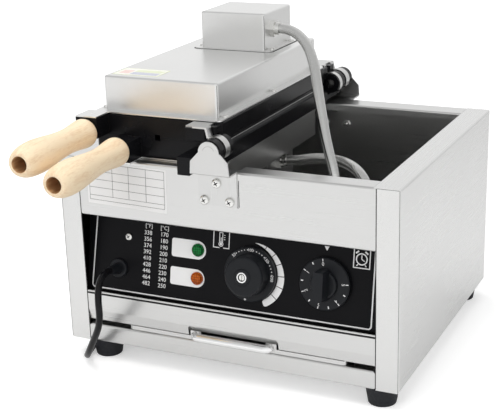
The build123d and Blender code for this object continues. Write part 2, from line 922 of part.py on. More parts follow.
def box_form(ferrule_place, ferrule_rise):
    """Upper wiring box with the conduit's hole in its right side."""
    top = cover_top + box_height
    with BuildPart() as form:
        slab(box_left, box_right, front + box_front, front + box_back, cover_top, top)
        fillet(edges().filter_by(Axis.Z), radius=box_corner)
        fillet(faces().sort_by(Axis.Z)[-1].edges(), radius=box_corner - 0.5)
        offset(amount=-box_sheet, openings=faces().sort_by(Axis.Z)[0])
        with BuildSketch(level(cover_top)) as flange:
            with Locations(((box_left + box_right) / 2, front + (box_front + box_back) / 2)):
                Rectangle(
                    box_right - box_left + 2 * box_flange, box_back - box_front + 2 * flange_side
                )
            fillet(flange.vertices(), radius=box_flange_corner)
            with Locations(((box_left + box_right) / 2, front + (box_front + box_back) / 2)):
                Rectangle(
                    box_right - box_left - 2 * box_sheet, box_back - box_front - 2 * box_sheet,
                    mode=Mode.SUBTRACT,
                )
            with Locations(*box_screws):
                Circle(cover_screw_size / 2 + 0.2, mode=Mode.SUBTRACT)
        extrude(amount=box_sheet)
        with BuildSketch(along(box_right)):
            with Locations((front + ferrule_place, cover_top + ferrule_rise)):
                Circle(box_hole / 2)
        extrude(amount=-2 * box_sheet, mode=Mode.SUBTRACT)
    return form.part


with BuildPart() as upper_wiring_box:
    add(box_form(ferrule_depth, upper_ferrule_height))
save(upper_wiring_box, "upper_wiring_box")

with BuildPart() as lower_wiring_box:
    add(mirror(box_form(lower_ferrule_depth, lower_ferrule_height), about=parting, mode=Mode.PRIVATE))
save(lower_wiring_box, "lower_wiring_box")

# Nuts and sleeves that hold the conduits in the wiring boxes
ferrule_nut = 5.0
ferrule_sleeve = 14.0


def ferrule_form(place, rise):
    """Hexagon nut and round sleeve on the upper box's right side, with a back nut inside."""
    with BuildPart() as form:
        with BuildSketch(along(box_right)):
            with Locations((front + place, cover_top + rise)):
                RegularPolygon(ferrule_diameter / 2, 6, major_radius=False)
        extrude(amount=ferrule_nut)
        with BuildSketch(along(box_right)):
            with Locations((front + place, cover_top + rise)):
                Circle(ferrule_sleeve / 2)
        extrude(amount=ferrule_length)
        with BuildSketch(along(box_right)):
            with Locations((front + place, cover_top + rise)):
                Circle(box_hole / 2 - 0.1)
        extrude(amount=-box_sheet - ferrule_nut)
    return form.part


with BuildPart() as upper_ferrule:
    add(ferrule_form(ferrule_depth, upper_ferrule_height))
save(upper_ferrule, "upper_ferrule")

with BuildPart() as lower_ferrule:
    add(mirror(ferrule_form(lower_ferrule_depth, lower_ferrule_height), about=parting, mode=Mode.PRIVATE))
save(lower_ferrule, "lower_ferrule")

# Screws on the flanges, the tabs and the wiring boxes
small_screw = pan_screw(cover_screw_size, 1.0)


def cover_screw_form(lug):
    """Small screws of the upper cover and its wiring box."""
    with BuildPart() as form:
        with Locations(*[(x, y, cover_base + cover_sheet) for x, y in flange_screws]):
            add(small_screw)
        with BuildSketch(level(cover_base)):
            with Locations((lug, mould_front - lug_reach / 2)):
                Circle(tab_screw_head / 2)
        extrude(amount=cover_sheet)
        with Locations(*[(x, y, cover_top + box_sheet) for x, y in box_screws]):
            add(small_screw)
    return form.part


with BuildPart() as upper_cover_screws:
    add(cover_screw_form(upper_lug))
save(upper_cover_screws, "upper_cover_screws")

with BuildPart() as lower_cover_screws:
    add(mirror(cover_screw_form(lower_lug), about=parting, mode=Mode.PRIVATE))
save(lower_cover_screws, "lower_cover_screws")

# Tubular heaters that lie on the backs of the castings, their ends up in the boxes
heater_height = mould_top + heater_diameter / 2 + 0.05


def heater_form():
    """Upper heater: a flat U whose two ends rise through the cover."""
    near = front + heater_front
    far = front + heater_back
    with BuildPart() as form:
        with BuildLine() as run:
            FilletPolyline(
                (heater_left, far, mould_top + heater_terminal),
                (heater_left, far, heater_height),
                (heater_left, near, heater_height),
                (heater_right, near, heater_height),
                (heater_right, far, heater_height),
                (heater_right, far, mould_top + heater_terminal),
                radius=heater_bend,
            )
        with BuildSketch(Plane(origin=run.line @ 0, z_dir=run.line % 0)):
            Circle(heater_diameter / 2)
        sweep()
    return form.part


heater = heater_form()
with BuildPart() as upper_heater:
    add(heater)
save(upper_heater, "upper_heater")

with BuildPart() as lower_heater:
    add(mirror(heater, about=parting, mode=Mode.PRIVATE))
save(lower_heater, "lower_heater")

# Handles: a steel rod screwed into the lug, and turned wood held by a nut in its bore
collar_start = 0.4
collar_radius = 8.0
wood_start = collar_start + collar_length
bore_depth = 40.0
nut_height = 4.0
nut_radius = 6.0
rod_hole = handle_rod / 2 + 0.1
foot_radius = 11.0
tip_radius = 10.2


def rod(name, lug, height):
    """Rod with a collar at the lug and a round nut in the wood's bore."""
    with BuildPart() as piece:
        with BuildSketch(handle_plane(lug, height, -rod_depth + 0.5)):
            Circle(handle_rod / 2)
        extrude(amount=rod_depth + wood_start + handle_length - bore_depth)
        with BuildSketch(handle_plane(lug, height, collar_start)):
            Circle(collar_radius)
        extrude(amount=collar_length)
        with BuildSketch(handle_plane(lug, height, wood_start + handle_length - bore_depth)):
            Circle(nut_radius)
        extrude(amount=nut_height)
    save(piece, name)


def wood_handle(name, lug, height):
    """Turned handle: a rounded flare at the lug, a waist and a fat end with a bore."""
    seat = handle_plane(lug, height, wood_start)
    section = Plane(origin=seat.origin, x_dir=seat.x_dir, z_dir=seat.x_dir.cross(seat.z_dir))
    with BuildPart() as piece:
        with BuildSketch(section):
            with BuildLine():
                Line((rod_hole, 0), (foot_radius, 0))
                Spline(
                    (foot_radius, 0), (13.8, 1.5), (14.8, 6), (14.3, 15), (12.4, 36), (13.4, 58),
                    (15.6, 80), (16.4, 95), (15.6, 109), (13.2, 117.5), (tip_radius, handle_length),
                )
                Line((tip_radius, handle_length), (handle_bore / 2, handle_length))
                Line((handle_bore / 2, handle_length), (handle_bore / 2, handle_length - bore_depth))
                Line((handle_bore / 2, handle_length - bore_depth), (rod_hole, handle_length - bore_depth))
                Line((rod_hole, handle_length - bore_depth), (rod_hole, 0))
            make_face()
        revolve(axis=Axis(seat.origin, seat.z_dir))
    save(piece, name)


rod("upper_handle_rod", upper_lug, upper_handle_height)
rod("lower_handle_rod", lower_lug, lower_handle_height)
wood_handle("upper_handle", upper_lug, upper_handle_height)
wood_handle("lower_handle", lower_lug, lower_handle_height)

# Thermostat and timer: a housing behind the panel and a short bush through it
housing_width = 36.0
housing_height = 44.0
thermostat_housing = 26.0
timer_housing = 34.0
bush_rise = 2.0
shaft_tip = 13.0
shaft_depth = 18.0
bush_radius = bush_hole / 2 - 0.1


def regulator(name, place, depth):
    """Housing on the back of the panel with a bush for its shaft."""
    with BuildPart() as piece:
        with BuildSketch(panel_plane(place, -panel_thickness - 0.05)) as back_face:
            Rectangle(housing_width, housing_height)
            fillet(back_face.vertices(), radius=4.0)
        extrude(amount=-depth)
        with BuildSketch(panel_plane(place, -panel_thickness - 1)):
            Circle(bush_radius)
        extrude(amount=panel_thickness + 1 + bush_rise)
        with BuildSketch(panel_plane(place, bush_rise)):
            Circle(shaft_diameter / 2 + running_fit)
        extrude(amount=-bush_rise - panel_thickness - shaft_depth - 1, mode=Mode.SUBTRACT)
    save(piece, name)


regulator("thermostat", thermostat_place, thermostat_housing)
regulator("timer", timer_place, timer_housing)


def shaft(name, place, tip):
    """Shaft with a slotted end, turning in its bush."""
    with BuildPart() as piece:
        with BuildSketch(panel_plane(place, tip)):
            Circle(shaft_diameter / 2)
        extrude(amount=-tip - panel_thickness - shaft_depth)
        with BuildSketch(panel_plane(place, tip)):
            Rectangle(1.2, shaft_diameter + 1)
        extrude(amount=-2.0, mode=Mode.SUBTRACT)
    save(piece, name)


# Thermostat knob: a flat dial, a rounded grip and a bright ring round the shaft's end
dial_bevel = 1.0
grip_sink = 0.5
bush_room = 7.0
bush_room_depth = 3.0
ring_recess = 5.2
ring_bore = 4.0
ring_depth = 2.0
ring_rise = 0.6
grip_taper = 1.0
grip_round = 3.5
nose_foot = 9.0
nose_radius = 7.6
nose_rise = 1.5
thermostat_top = knob_gap + knob_disc_height + thermostat_grip_height
nose_top = thermostat_top + nose_rise
with BuildPart() as temperature_knob:
    with BuildSketch(panel_plane(thermostat_place, knob_gap)):
        Circle(thermostat_disc)
    extrude(amount=knob_disc_height)
    chamfer(edges().filter_by(GeomType.CIRCLE).sort_by(Axis.Y)[0], length=dial_bevel)
    with BuildSketch(panel_plane(thermostat_place, knob_gap + knob_disc_height - grip_sink)):
        Circle(thermostat_grip)
    with BuildSketch(panel_plane(thermostat_place, thermostat_top)):
        Circle(thermostat_grip - grip_taper)
    loft()
    fillet(edges().filter_by(GeomType.CIRCLE).sort_by(Axis.Y)[0], radius=grip_round)
    with BuildSketch(panel_plane(thermostat_place, thermostat_top - grip_sink)):
        Circle(nose_foot)
    with BuildSketch(panel_plane(thermostat_place, nose_top)):
        Circle(nose_radius)
    loft()
    with BuildSketch(panel_plane(thermostat_place, nose_top)):
        Circle(ring_recess)
    extrude(amount=-ring_depth, mode=Mode.SUBTRACT)
    with BuildSketch(panel_plane(thermostat_place, 0)):
        Circle(bush_room)
    extrude(amount=bush_room_depth, mode=Mode.SUBTRACT)
    with BuildSketch(panel_plane(thermostat_place, 0)):
        Circle(shaft_diameter / 2)
    extrude(amount=nose_top + 1, mode=Mode.SUBTRACT)
save(temperature_knob, "temperature_knob")

with BuildPart() as knob_ring:
    with BuildSketch(panel_plane(thermostat_place, nose_top - ring_depth)):
        Circle(ring_recess)
        Circle(ring_bore, mode=Mode.SUBTRACT)
    extrude(amount=ring_depth + ring_rise)
save(knob_ring, "knob_ring")
shaft("temperature_shaft", thermostat_place, nose_top)

# Timer knob: a flat dial, a low boss and a bar to turn it by
timer_boss = 14.0
timer_boss_height = 4.5
timer_boss_round = 2.5
timer_bar_width = 12.5
timer_bar_length = 31.0
timer_bar_corner = 2.5
timer_bar_draft = 3.0
timer_sink = knob_gap + knob_disc_height - grip_sink
with BuildPart() as timer_knob:
    with BuildSketch(panel_plane(timer_place, knob_gap)):
        Circle(timer_disc)
    extrude(amount=knob_disc_height)
    chamfer(edges().filter_by(GeomType.CIRCLE).sort_by(Axis.Y)[0], length=dial_bevel)
    with BuildSketch(panel_plane(timer_place, timer_sink)):
        Circle(timer_boss)
    extrude(amount=timer_boss_height)
    fillet(edges().filter_by(GeomType.CIRCLE).sort_by(Axis.Y)[0], radius=timer_boss_round)
    with BuildSketch(panel_plane(timer_place, timer_sink)):
        RectangleRounded(timer_bar_width, timer_bar_length, timer_bar_corner)
    extrude(amount=timer_grip_height + grip_sink, taper=timer_bar_draft)
    with BuildSketch(panel_plane(timer_place, 0)):
        Circle(bush_room)
    extrude(amount=bush_room_depth, mode=Mode.SUBTRACT)
    with BuildSketch(panel_plane(timer_place, 0)):
        Circle(shaft_diameter / 2)
    extrude(amount=shaft_tip, mode=Mode.SUBTRACT)
save(timer_knob, "timer_knob")
shaft("timer_shaft", timer_place, shaft_tip)


def lamp(name, place):
    """Indicator lens with a low bezel, and its body behind the panel."""
    with BuildPart() as piece:
        with BuildSketch(panel_plane(place, 0.05)):
            Circle(lamp_diameter / 2)
        extrude(amount=lamp_rise * 0.5)
        with BuildSketch(panel_plane(place, lamp_rise * 0.4)):
            Circle(lamp_diameter / 2 - 1.2)
        extrude(amount=lamp_rise * 0.6)
        fillet(edges().filter_by(GeomType.CIRCLE).sort_by(Axis.Y)[0], radius=1.4)
        with BuildSketch(panel_plane(place, 0.5)):
            Circle(lamp_hole / 2 - 0.2)
        extrude(amount=-26.0)
    save(piece, name)


lamp("power_lamp", power_lamp_place)
lamp("heat_lamp", heat_lamp_place)

# One screw through the panel into the terminal block's bracket
with BuildPart() as panel_screw:
    with Locations(panel_plane(panel_screw_place, 0.05)):
        add(pan_screw(4.0, 7.0))
save(panel_screw, "panel_screw")

block_width = 52.0
block_tall = 18.0
block_deep = 22.0
with BuildPart() as terminal_block:
    with BuildSketch(panel_plane(panel_screw_place, -panel_thickness - 0.05)):
        Rectangle(block_width, block_tall)
        Circle(2.2, mode=Mode.SUBTRACT)
    extrude(amount=-block_deep)
    with BuildSketch(panel_plane(panel_screw_place, -panel_thickness - block_deep)):
        with GridLocations(block_width / 4, 1, 4, 1):
            Rectangle(block_width / 4 - 2.5, block_tall - 6)
    extrude(amount=6.0, mode=Mode.SUBTRACT)
save(terminal_block, "terminal_block")

# Cable gland: a round flange on the panel and a tapered nose that holds the mains lead
gland_flange = 10.0
gland_flange_height = 4.0
gland_nose_foot = 6.6
gland_nose_length = 20.0
gland_wall = 0.7
gland_reach = 14.0
gland_nut_radius = 9.5
gland_nut_height = 5.0
with BuildPart() as cable_gland:
    with BuildSketch(panel_plane(gland_place, 0.05)):
        Circle(gland_flange)
    extrude(amount=gland_flange_height)
    fillet(edges().filter_by(GeomType.CIRCLE).sort_by(Axis.Y)[0], radius=1.2)
    with BuildSketch(panel_plane(gland_place, 1.0)):
        Circle(gland_nose_foot)
    with BuildSketch(panel_plane(gland_place, gland_nose_length)):
        Circle(lead_diameter / 2 + gland_wall)
    loft()
    with BuildSketch(panel_plane(gland_place, 1.0)):
        Circle(gland_hole / 2 - 0.2)
    extrude(amount=-gland_reach)
save(cable_gland, "cable_gland")

with BuildPart() as gland_nut:
    with BuildSketch(panel_plane(gland_place, -panel_thickness - 0.05)):
        RegularPolygon(gland_nut_radius, 6)
        Circle(gland_hole / 2 - 0.2, mode=Mode.SUBTRACT)
    extrude(amount=-gland_nut_height)
save(gland_nut, "gland_nut")


def corner_radii(points, share=0.45):
    """Radius of the arc at each inner point of a route."""
    radii = []
    for before, here, after in zip(points, points[1:], points[2:]):
        behind = Vector(*before) - Vector(*here)
        ahead = Vector(*after) - Vector(*here)
        turn = 180 - behind.get_angle(ahead)
        radii.append(share * min(behind.length, ahead.length) / math.tan(math.radians(turn / 2)))
    return radii


def tube(name, points, diameter):
    """Round tube along straight runs joined by tangent arcs."""
    radii = corner_radii(points)
    with BuildPart() as piece:
        with BuildLine() as route:
            FilletPolyline(*points, radius=radii)
        with BuildSketch(Plane(origin=route.line @ 0, z_dir=route.line % 0)):
            Circle(diameter / 2)
        sweep()
    length = sum(edge.length for edge in route.edges())
    expected = math.pi * diameter**2 / 4 * length
    print(name, "length", round(length, 1), "volume ratio", round(piece.part.volume / expected, 4))
    print(name, "radii", [round(r) for r in radii])
    return piece


def placed(points):
    """Route given from the front face's middle and the case bottom, in the part's frame."""
    return [(x, front + y, ground + z) for x, y, z in points]


# Metal conduits from the wiring boxes down to the deck, and the nuts that they end in
deck_nut = 8.0
upper_deck_spot = (side - 99.0, 96.0)
lower_deck_spot = (side - 65.0, 99.0)
conduit_end = deck_height + deck_nut
with BuildPart() as deck_glands:
    with BuildSketch(level(ground + deck_height + 0.05)):
        for x, y in (upper_deck_spot, lower_deck_spot):
            with Locations((x, front + y)):
                RegularPolygon(ferrule_diameter / 2, 6, major_radius=False)
    extrude(amount=deck_nut - 0.05)
save(deck_glands, "deck_glands")

ferrule_end = box_right + ferrule_length
upper_ferrule_rise = cover_top + upper_ferrule_height - ground
lower_ferrule_rise = 2 * (hinge - ground) - cover_top - lower_ferrule_height + ground
upper_route = placed([
    (ferrule_end, ferrule_depth, upper_ferrule_rise),
    (ferrule_end + 7, ferrule_depth, upper_ferrule_rise),
    (17, 186, 298),
    (34, 166, 281),
    (45, 148, 257),
    (56, 132, 232),
    (67, 117, 208),
    (78, 105, 184),
    (*upper_deck_spot, 166),
    (*upper_deck_spot, conduit_end),
])
lower_route = placed([
    (ferrule_end, lower_ferrule_depth, lower_ferrule_rise),
    (ferrule_end + 6, lower_ferrule_depth, lower_ferrule_rise),
    (12, 194, 167),
    (38, 173, 174.5),
    (63, 153, 178.5),
    (86, 134, 180.5),
    (105, 115, 178),
    (*lower_deck_spot, 167),
    (*lower_deck_spot, conduit_end),
])
upper_tube = tube("upper_conduit", upper_route, conduit_diameter)
meeting = 4
meet = (Vector(*upper_route[meeting]) + Vector(*upper_route[meeting + 1])) / 2
meet_plane = Plane(origin=meet, z_dir=Vector(*upper_route[meeting + 1]) - Vector(*upper_route[meeting]))
with BuildPart() as upper_conduit:
    add(upper_tube.part)
    split(bisect_by=meet_plane, keep=Keep.BOTTOM)
save(upper_conduit, "upper_conduit")
with BuildPart() as upper_conduit_tail:
    add(upper_tube.part)
    split(bisect_by=meet_plane, keep=Keep.TOP)
save(upper_conduit_tail, "upper_conduit_tail")
save(tube("lower_conduit", lower_route, conduit_diameter), "lower_conduit")

# Mains lead: out of the gland, down to the table, under the case along its left side,
# and into a flat coil behind it
lead_height = lead_diameter / 2 + 0.1
on_table = lead_height - ground
nose = panel_plane(gland_place, gland_nose_length).origin
nose_next = panel_plane(gland_place, gland_nose_length + 11).origin
coil_centre = (-175.0 + coil_radius, front + coil_centre_depth)
lead_route = [
    tuple(nose),
    tuple(nose_next),
] + placed([
    (-125.5, -34, 81.5),
    (-122, -45, 66),
    (-121, -45, 47),
    (-128, -39, 29),
    (-139, -30, 12),
    (-151, -20, -3),
    (-163, -6, -13.5),
    (-171, 14, on_table),
    (-175, 46, on_table),
    (-176.5, 96, on_table),
    (-175, 150, on_table),
    (-176.5, 205, on_table),
    (-175, 260, on_table),
    (-176, 312, on_table),
    (-175, 352, on_table),
    (-175, coil_centre_depth - lead_diameter, on_table),
])
save(tube("mains_lead", lead_route, lead_diameter), "mains_lead")

# Coil of the spare length: it spirals in on the table, climbs in one half turn and
# spirals out again on top
coil_pitch = lead_diameter + coil_gap
coil_steps = [0, 1, 2, 3, 2, 1, 0]
climb_step = 3
coil_start = Vector(coil_centre[0] - coil_radius, coil_centre[1], lead_height)


def coil_arcs():
    """Start, middle and end of each half turn."""
    arcs = []
    here = coil_start
    way = 1
    for number, step in enumerate(coil_steps):
        radius = coil_radius - step * coil_pitch / 2
        climb = coil_pitch if number == climb_step else 0
        there = here + Vector(way * 2 * radius, 0, climb)
        reach = (there - here).length / 2
        arcs.append((here, (here + there) / 2 + Vector(0, way * reach, 0), there))
        here = there
        way = -way
    return arcs


def least_gap(arcs, diameter, samples=24):
    """Least distance between half turns that aren't neighbours, less the diameter."""
    lines = []
    for start, middle, end in arcs:
        centre = (start + end) / 2
        across_line = start - centre
        out_line = middle - centre
        lines.append([
            centre + across_line * math.cos(math.pi * n / samples)
            + out_line * math.sin(math.pi * n / samples)
            for n in range(samples + 1)
        ])
    gaps = [
        (a - b).length
        for first in range(len(lines))
        for second in range(first + 2, len(lines))
        for a in lines[first]
        for b in lines[second]
    ]
    return min(gaps) - diameter


arcs = coil_arcs()
coil_end = arcs[-1][2]
stub = Vector(0, lead_diameter, 0)
with BuildPart() as lead_coil:
    with BuildLine() as turns:
        Line(coil_start - stub, coil_start)
        for start, halfway, end in arcs:
            ThreePointArc(start, halfway, end)
        Line(coil_end, coil_end - stub)
    with BuildSketch(Plane(origin=coil_start - stub, z_dir=(0, 1, 0))):
        Circle(lead_diameter / 2)
    sweep()
coil_length = sum(edge.length for edge in turns.edges())
print("lead_coil length", round(coil_length, 1), "least gap", round(least_gap(arcs, lead_diameter), 2))
coil_volume = math.pi * lead_diameter**2 / 4 * coil_length
print("lead_coil volume ratio", round(lead_coil.part.volume / coil_volume, 4))
save(lead_coil, "lead_coil")

# Tail from the coil to the plug, which lies flat beside it
plug_half = 7.0
plug_height = plug_half + 0.1
tail_start = coil_end - stub
tail_route = [
    tuple(tail_start),
    tuple(tail_start + Vector(0, -11, 0)),
] + [
    (-64.5, front + coil_centre_depth - 36.5, plug_height + 3.5),
    (-46, front + coil_centre_depth - 47, plug_height + 1),
    (-25, front + coil_centre_depth - 48, plug_height),
    (-8, front + coil_centre_depth - 47.5, plug_height),
]
save(tube("lead_tail", tail_route, lead_diameter), "lead_tail")

relief_length = 22.0
plug_body_length = 28.0
plug_body_width = 27.0
pin_length = 19.0
pin_spacing = 18.6
pin_width = 4.8
plug_way = Vector(*tail_route[-1]) - Vector(*tail_route[-2])
plug_plane = Plane(origin=tail_route[-1], x_dir=(0, 0, 1), z_dir=plug_way)
with BuildPart() as plug:
    with BuildSketch(plug_plane):
        Circle(lead_diameter / 2 + 0.6)
    with BuildSketch(plug_plane.offset(relief_length)):
        Circle(plug_half - 1)
    loft()
    with BuildSketch(plug_plane.offset(relief_length)) as body_section:
        Rectangle(2 * plug_half, plug_body_width)
        fillet(body_section.vertices(), radius=plug_half - 1)
    extrude(amount=plug_body_length)
save(plug, "plug")

with BuildPart() as plug_pins:
    with BuildSketch(plug_plane.offset(relief_length + plug_body_length)):
        with GridLocations(1, pin_spacing, 1, 2):
            Circle(pin_width / 2)
    extrude(amount=pin_length)
save(plug_pins, "plug_pins")
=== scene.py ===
import math

import bmesh
import bpy
from mathutils import Matrix, Vector


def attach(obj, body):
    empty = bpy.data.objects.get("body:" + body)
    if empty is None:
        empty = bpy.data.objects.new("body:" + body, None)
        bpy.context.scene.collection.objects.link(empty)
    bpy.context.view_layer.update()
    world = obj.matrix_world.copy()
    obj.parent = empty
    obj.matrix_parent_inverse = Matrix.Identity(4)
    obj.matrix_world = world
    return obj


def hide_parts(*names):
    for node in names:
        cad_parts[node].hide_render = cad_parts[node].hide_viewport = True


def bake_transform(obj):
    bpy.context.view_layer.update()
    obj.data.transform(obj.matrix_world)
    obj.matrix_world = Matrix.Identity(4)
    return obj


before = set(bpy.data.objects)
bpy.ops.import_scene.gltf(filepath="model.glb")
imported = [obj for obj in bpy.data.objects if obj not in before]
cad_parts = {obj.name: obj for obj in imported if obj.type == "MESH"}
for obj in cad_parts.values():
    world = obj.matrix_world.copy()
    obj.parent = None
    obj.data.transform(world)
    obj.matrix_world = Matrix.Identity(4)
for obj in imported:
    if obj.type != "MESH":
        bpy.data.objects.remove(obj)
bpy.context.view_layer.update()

# Sight of the cooker: an ordinary lens a little over a metre away, from the front right
# and above the rim, tipped by under two degrees.
eye = Vector((0.5076, -1.10115, 0.5577))
aim = Vector((0.006878, -0.05425, 0.172736))
tip = math.radians(-1.736)
ahead = (aim - eye).normalized()
level_right = ahead.cross(Vector((0, 0, 1))).normalized()
level_up = level_right.cross(ahead)
right = level_right * math.cos(tip) + level_up * math.sin(tip)
sight = bpy.data.cameras.new("sight")
sight.sensor_width = 36.0
sight.lens = 87.33
sight.clip_start = 0.05
camera = bpy.data.objects.new("sight", sight)
facing = Matrix((right, right.cross(ahead), -ahead)).transposed().to_4x4()
camera.matrix_world = Matrix.Translation(eye) @ facing
bpy.context.collection.objects.link(camera)
bpy.context.scene.camera = camera

# Mains lead: one round rubber cable from the gland on the control panel, down to the
# table and under the left side, its spare length coiled flat behind, with a moulded plug.
front = -0.10425
ground = 0.020
lead_diameter = 0.0072
panel_foot = Vector((0, -0.09625, 0.0774))
panel_up = Vector((0, 0.17365, 0.98481))
panel_out = Vector((0, -0.98481, 0.17365))


def on_panel(across, up, rise=0.0):
    """Point on the leaning panel, from millimetres across, up and out of it."""
    place = panel_foot + Vector((across / 1000, 0, 0))
    return place + panel_up * (up / 1000) + panel_out * (rise / 1000)


def placed(points):
    """Metres in the model's frame, from millimetres off the front face and case bottom."""
    return [Vector((x / 1000, front + y / 1000, ground + z / 1000)) for x, y, z in points]


def finish(name, colour, roughness, metallic=0.0, gloss=0.5):
    """Plain new finish, with its node tree's parts for adding grain."""
    material = bpy.data.materials.new(name)
    material.use_nodes = True
    surface = material.node_tree.nodes["Principled BSDF"]
    surface.inputs["Base Color"].default_value = (*colour, 1)
    surface.inputs["Roughness"].default_value = roughness
    surface.inputs["Metallic"].default_value = metallic
    surface.inputs["Specular IOR Level"].default_value = gloss
    return material, material.node_tree, surface


def grain(tree, stretch, scale, detail=3.0, turn=(0, 0, 0)):
    """Noise on the piece's own coordinates, stretched along its axes."""
    place = tree.nodes.new("ShaderNodeTexCoord")
    mapping = tree.nodes.new("ShaderNodeMapping")
    mapping.inputs["Rotation"].default_value = turn
    mapping.inputs["Scale"].default_value = stretch
    noise = tree.nodes.new("ShaderNodeTexNoise")
    noise.inputs["Scale"].default_value = scale
    noise.inputs["Detail"].default_value = detail
    tree.links.new(place.outputs["Object"], mapping.inputs["Vector"])
    tree.links.new(mapping.outputs["Vector"], noise.inputs["Vector"])
    return noise.outputs["Fac"]


def spanned(tree, source, low, high, start=0.3, end=0.7):
    """Value that goes from low to high while the source goes from start to end."""
    span = tree.nodes.new("ShaderNodeMapRange")
    span.inputs["From Min"].default_value = start
    span.inputs["From Max"].default_value = end
    span.inputs["To Min"].default_value = low
    span.inputs["To Max"].default_value = high
    tree.links.new(source, span.inputs["Value"])
    return span.outputs["Result"]


def spread(tree, source, low, high, target, start=0.3, end=0.7):
    """Feed a value between low and high into a socket."""
    tree.links.new(spanned(tree, source, low, high, start, end), target)


def relief(tree, surface, source, strength, distance):
    """Raise and lower the surface by a pattern."""
    bump = tree.nodes.new("ShaderNodeBump")
    bump.inputs["Strength"].default_value = strength
    bump.inputs["Distance"].default_value = distance
    tree.links.new(source, bump.inputs["Height"])
    tree.links.new(bump.outputs["Normal"], surface.inputs["Normal"])
    return bump


def soften(tree, bump, radius):
    """Let sharp edges catch the light as if broken by a small radius."""
    broken = tree.nodes.new("ShaderNodeBevel")
    broken.samples = 6
    broken.inputs["Radius"].default_value = radius
    tree.links.new(broken.outputs["Normal"], bump.inputs["Normal"])


def tint(tree, surface, source, dark, light, start=0.3, end=0.7):
    """Colour between two tones by a pattern."""
    ramp = tree.nodes.new("ShaderNodeValToRGB")
    ramp.color_ramp.elements[0].position = start
    ramp.color_ramp.elements[0].color = (*dark, 1)
    ramp.color_ramp.elements[1].position = end
    ramp.color_ramp.elements[1].color = (*light, 1)
    tree.links.new(source, ramp.inputs["Fac"])
    tree.links.new(ramp.outputs["Color"], surface.inputs["Base Color"])


def wear(names, material):
    """Give pieces that come as they are from the solids their finish."""
    for name in names:
        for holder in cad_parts[name].material_slots:
            holder.material = material


def smooth_line(name, points):
    """Smooth open spline through given points, as a curve object."""
    curve = bpy.data.curves.new(name, "CURVE")
    curve.dimensions = "3D"
    spline = curve.splines.new("NURBS")
    spline.points.add(len(points) - 1)
    for target, point in zip(spline.points, points):
        target.co = (*point, 1)
    spline.order_u = 3
    spline.use_endpoint_u = True
    curve.resolution_u = 8
    line = bpy.data.objects.new(name, curve)
    bpy.context.collection.objects.link(line)
    return line


rubber, tree, surface = finish("cable_sheath", (0.005, 0.005, 0.006), 0.2, gloss=0.2)
scuffs = grain(tree, (1, 1, 1), 160, 4)
spread(tree, scuffs, 0.15, 0.26, surface.inputs["Roughness"])
relief(tree, surface, scuffs, 0.15, 0.0002)

# Heights in millimetres off the case bottom, as placed() takes them.
table = -ground * 1000
lead_half = lead_diameter * 500
table_gap = 0.1
on_table = lead_half + table_gap + table
plug_height = 7.1
coil_radius = 0.046
coil_pitch = 0.0079
coil_depth = 380.0
coil_left = -0.175
turn_points = 8
half_turns = (0, 1, 2, 3, 2, 1, 0)


def coil_turns():
    """Points of half turns that spiral in, climb one layer and spiral out again."""
    points = []
    here = Vector((coil_left, front + coil_depth / 1000, ground + on_table / 1000))
    way = 1
    for step in half_turns:
        radius = coil_radius - step * coil_pitch / 2
        climb = coil_pitch if step == max(half_turns) else 0
        there = here + Vector((way * 2 * radius, 0, climb))
        centre = (here + there) / 2
        outer = 1 / math.cos(math.pi / 2 / turn_points)
        for n in range(turn_points):
            angle = math.pi * (n + 0.5) / turn_points
            side = (here - centre) * math.cos(angle)
            bulge = Vector((0, way * radius * math.sin(angle), 0))
            points.append(centre + (side + bulge) * outer)
        here = there
        way = -way
    return points


turns = coil_turns()
lead_points = [
    on_panel(-127, 26, 20),
    on_panel(-127, 26, 28),
] + placed([
    (-126, -27.5, 85),
    (-123.5, -37, 77),
    (-120.8, -42.5, 65.5),
    (-119.5, -43.5, 53),
    (-122, -42, 40.5),
    (-128.5, -38.5, 28),
    (-136.8, -34, 15),
    (-146, -28, 1),
    (-156.5, -17, -11),
    (-165.5, -1, on_table),
    (-171, 18, on_table),
    (-175, 46, on_table),
    (-176.5, 96, on_table),
    (-175, 150, on_table),
    (-176.5, 205, on_table),
    (-175, 260, on_table),
    (-176, 312, on_table),
    (-175, 352, on_table),
    (-175, coil_depth - 7, on_table),
]) + turns + placed([
    (-75.1, coil_depth - 9.1, on_table + 7.9),
    (-72.5, coil_depth - 25.5, on_table + 7.7),
    (-64, coil_depth - 39, on_table + 6.9),
    (-50, coil_depth - 46, on_table + 5.3),
    (-33.5, coil_depth - 47.7, on_table + 3.7),
    (-20, coil_depth - 47.5, plug_height + table),
    (-8, coil_depth - 47.5, plug_height + table),
])
lead = smooth_line("mains_lead_cable", lead_points)
lead.data.bevel_depth = lead_diameter / 2
lead.data.bevel_resolution = 5
lead.data.use_fill_caps = True
lead.data.materials.append(rubber)
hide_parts("mains_lead", "lead_coil", "lead_tail")
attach(lead, "case")

# Conduits: springy steel hose of close-wound strip, which carries the heater wires from
# the wiring boxes down to the deck and bends when the moulds turn over.
hose_radius = 0.00555
hose_core = hose_radius - 0.0001
hose_faces = 28
rib_pitch = 0.0016
rib_radius = 0.00014
rib_faces = 6
hose_steel, tree, surface = finish("conduit_strip", (0.66, 0.66, 0.65), 0.14, 1.0)
spread(tree, grain(tree, (1, 1, 1), 90, 3), 0.11, 0.18, surface.inputs["Roughness"])


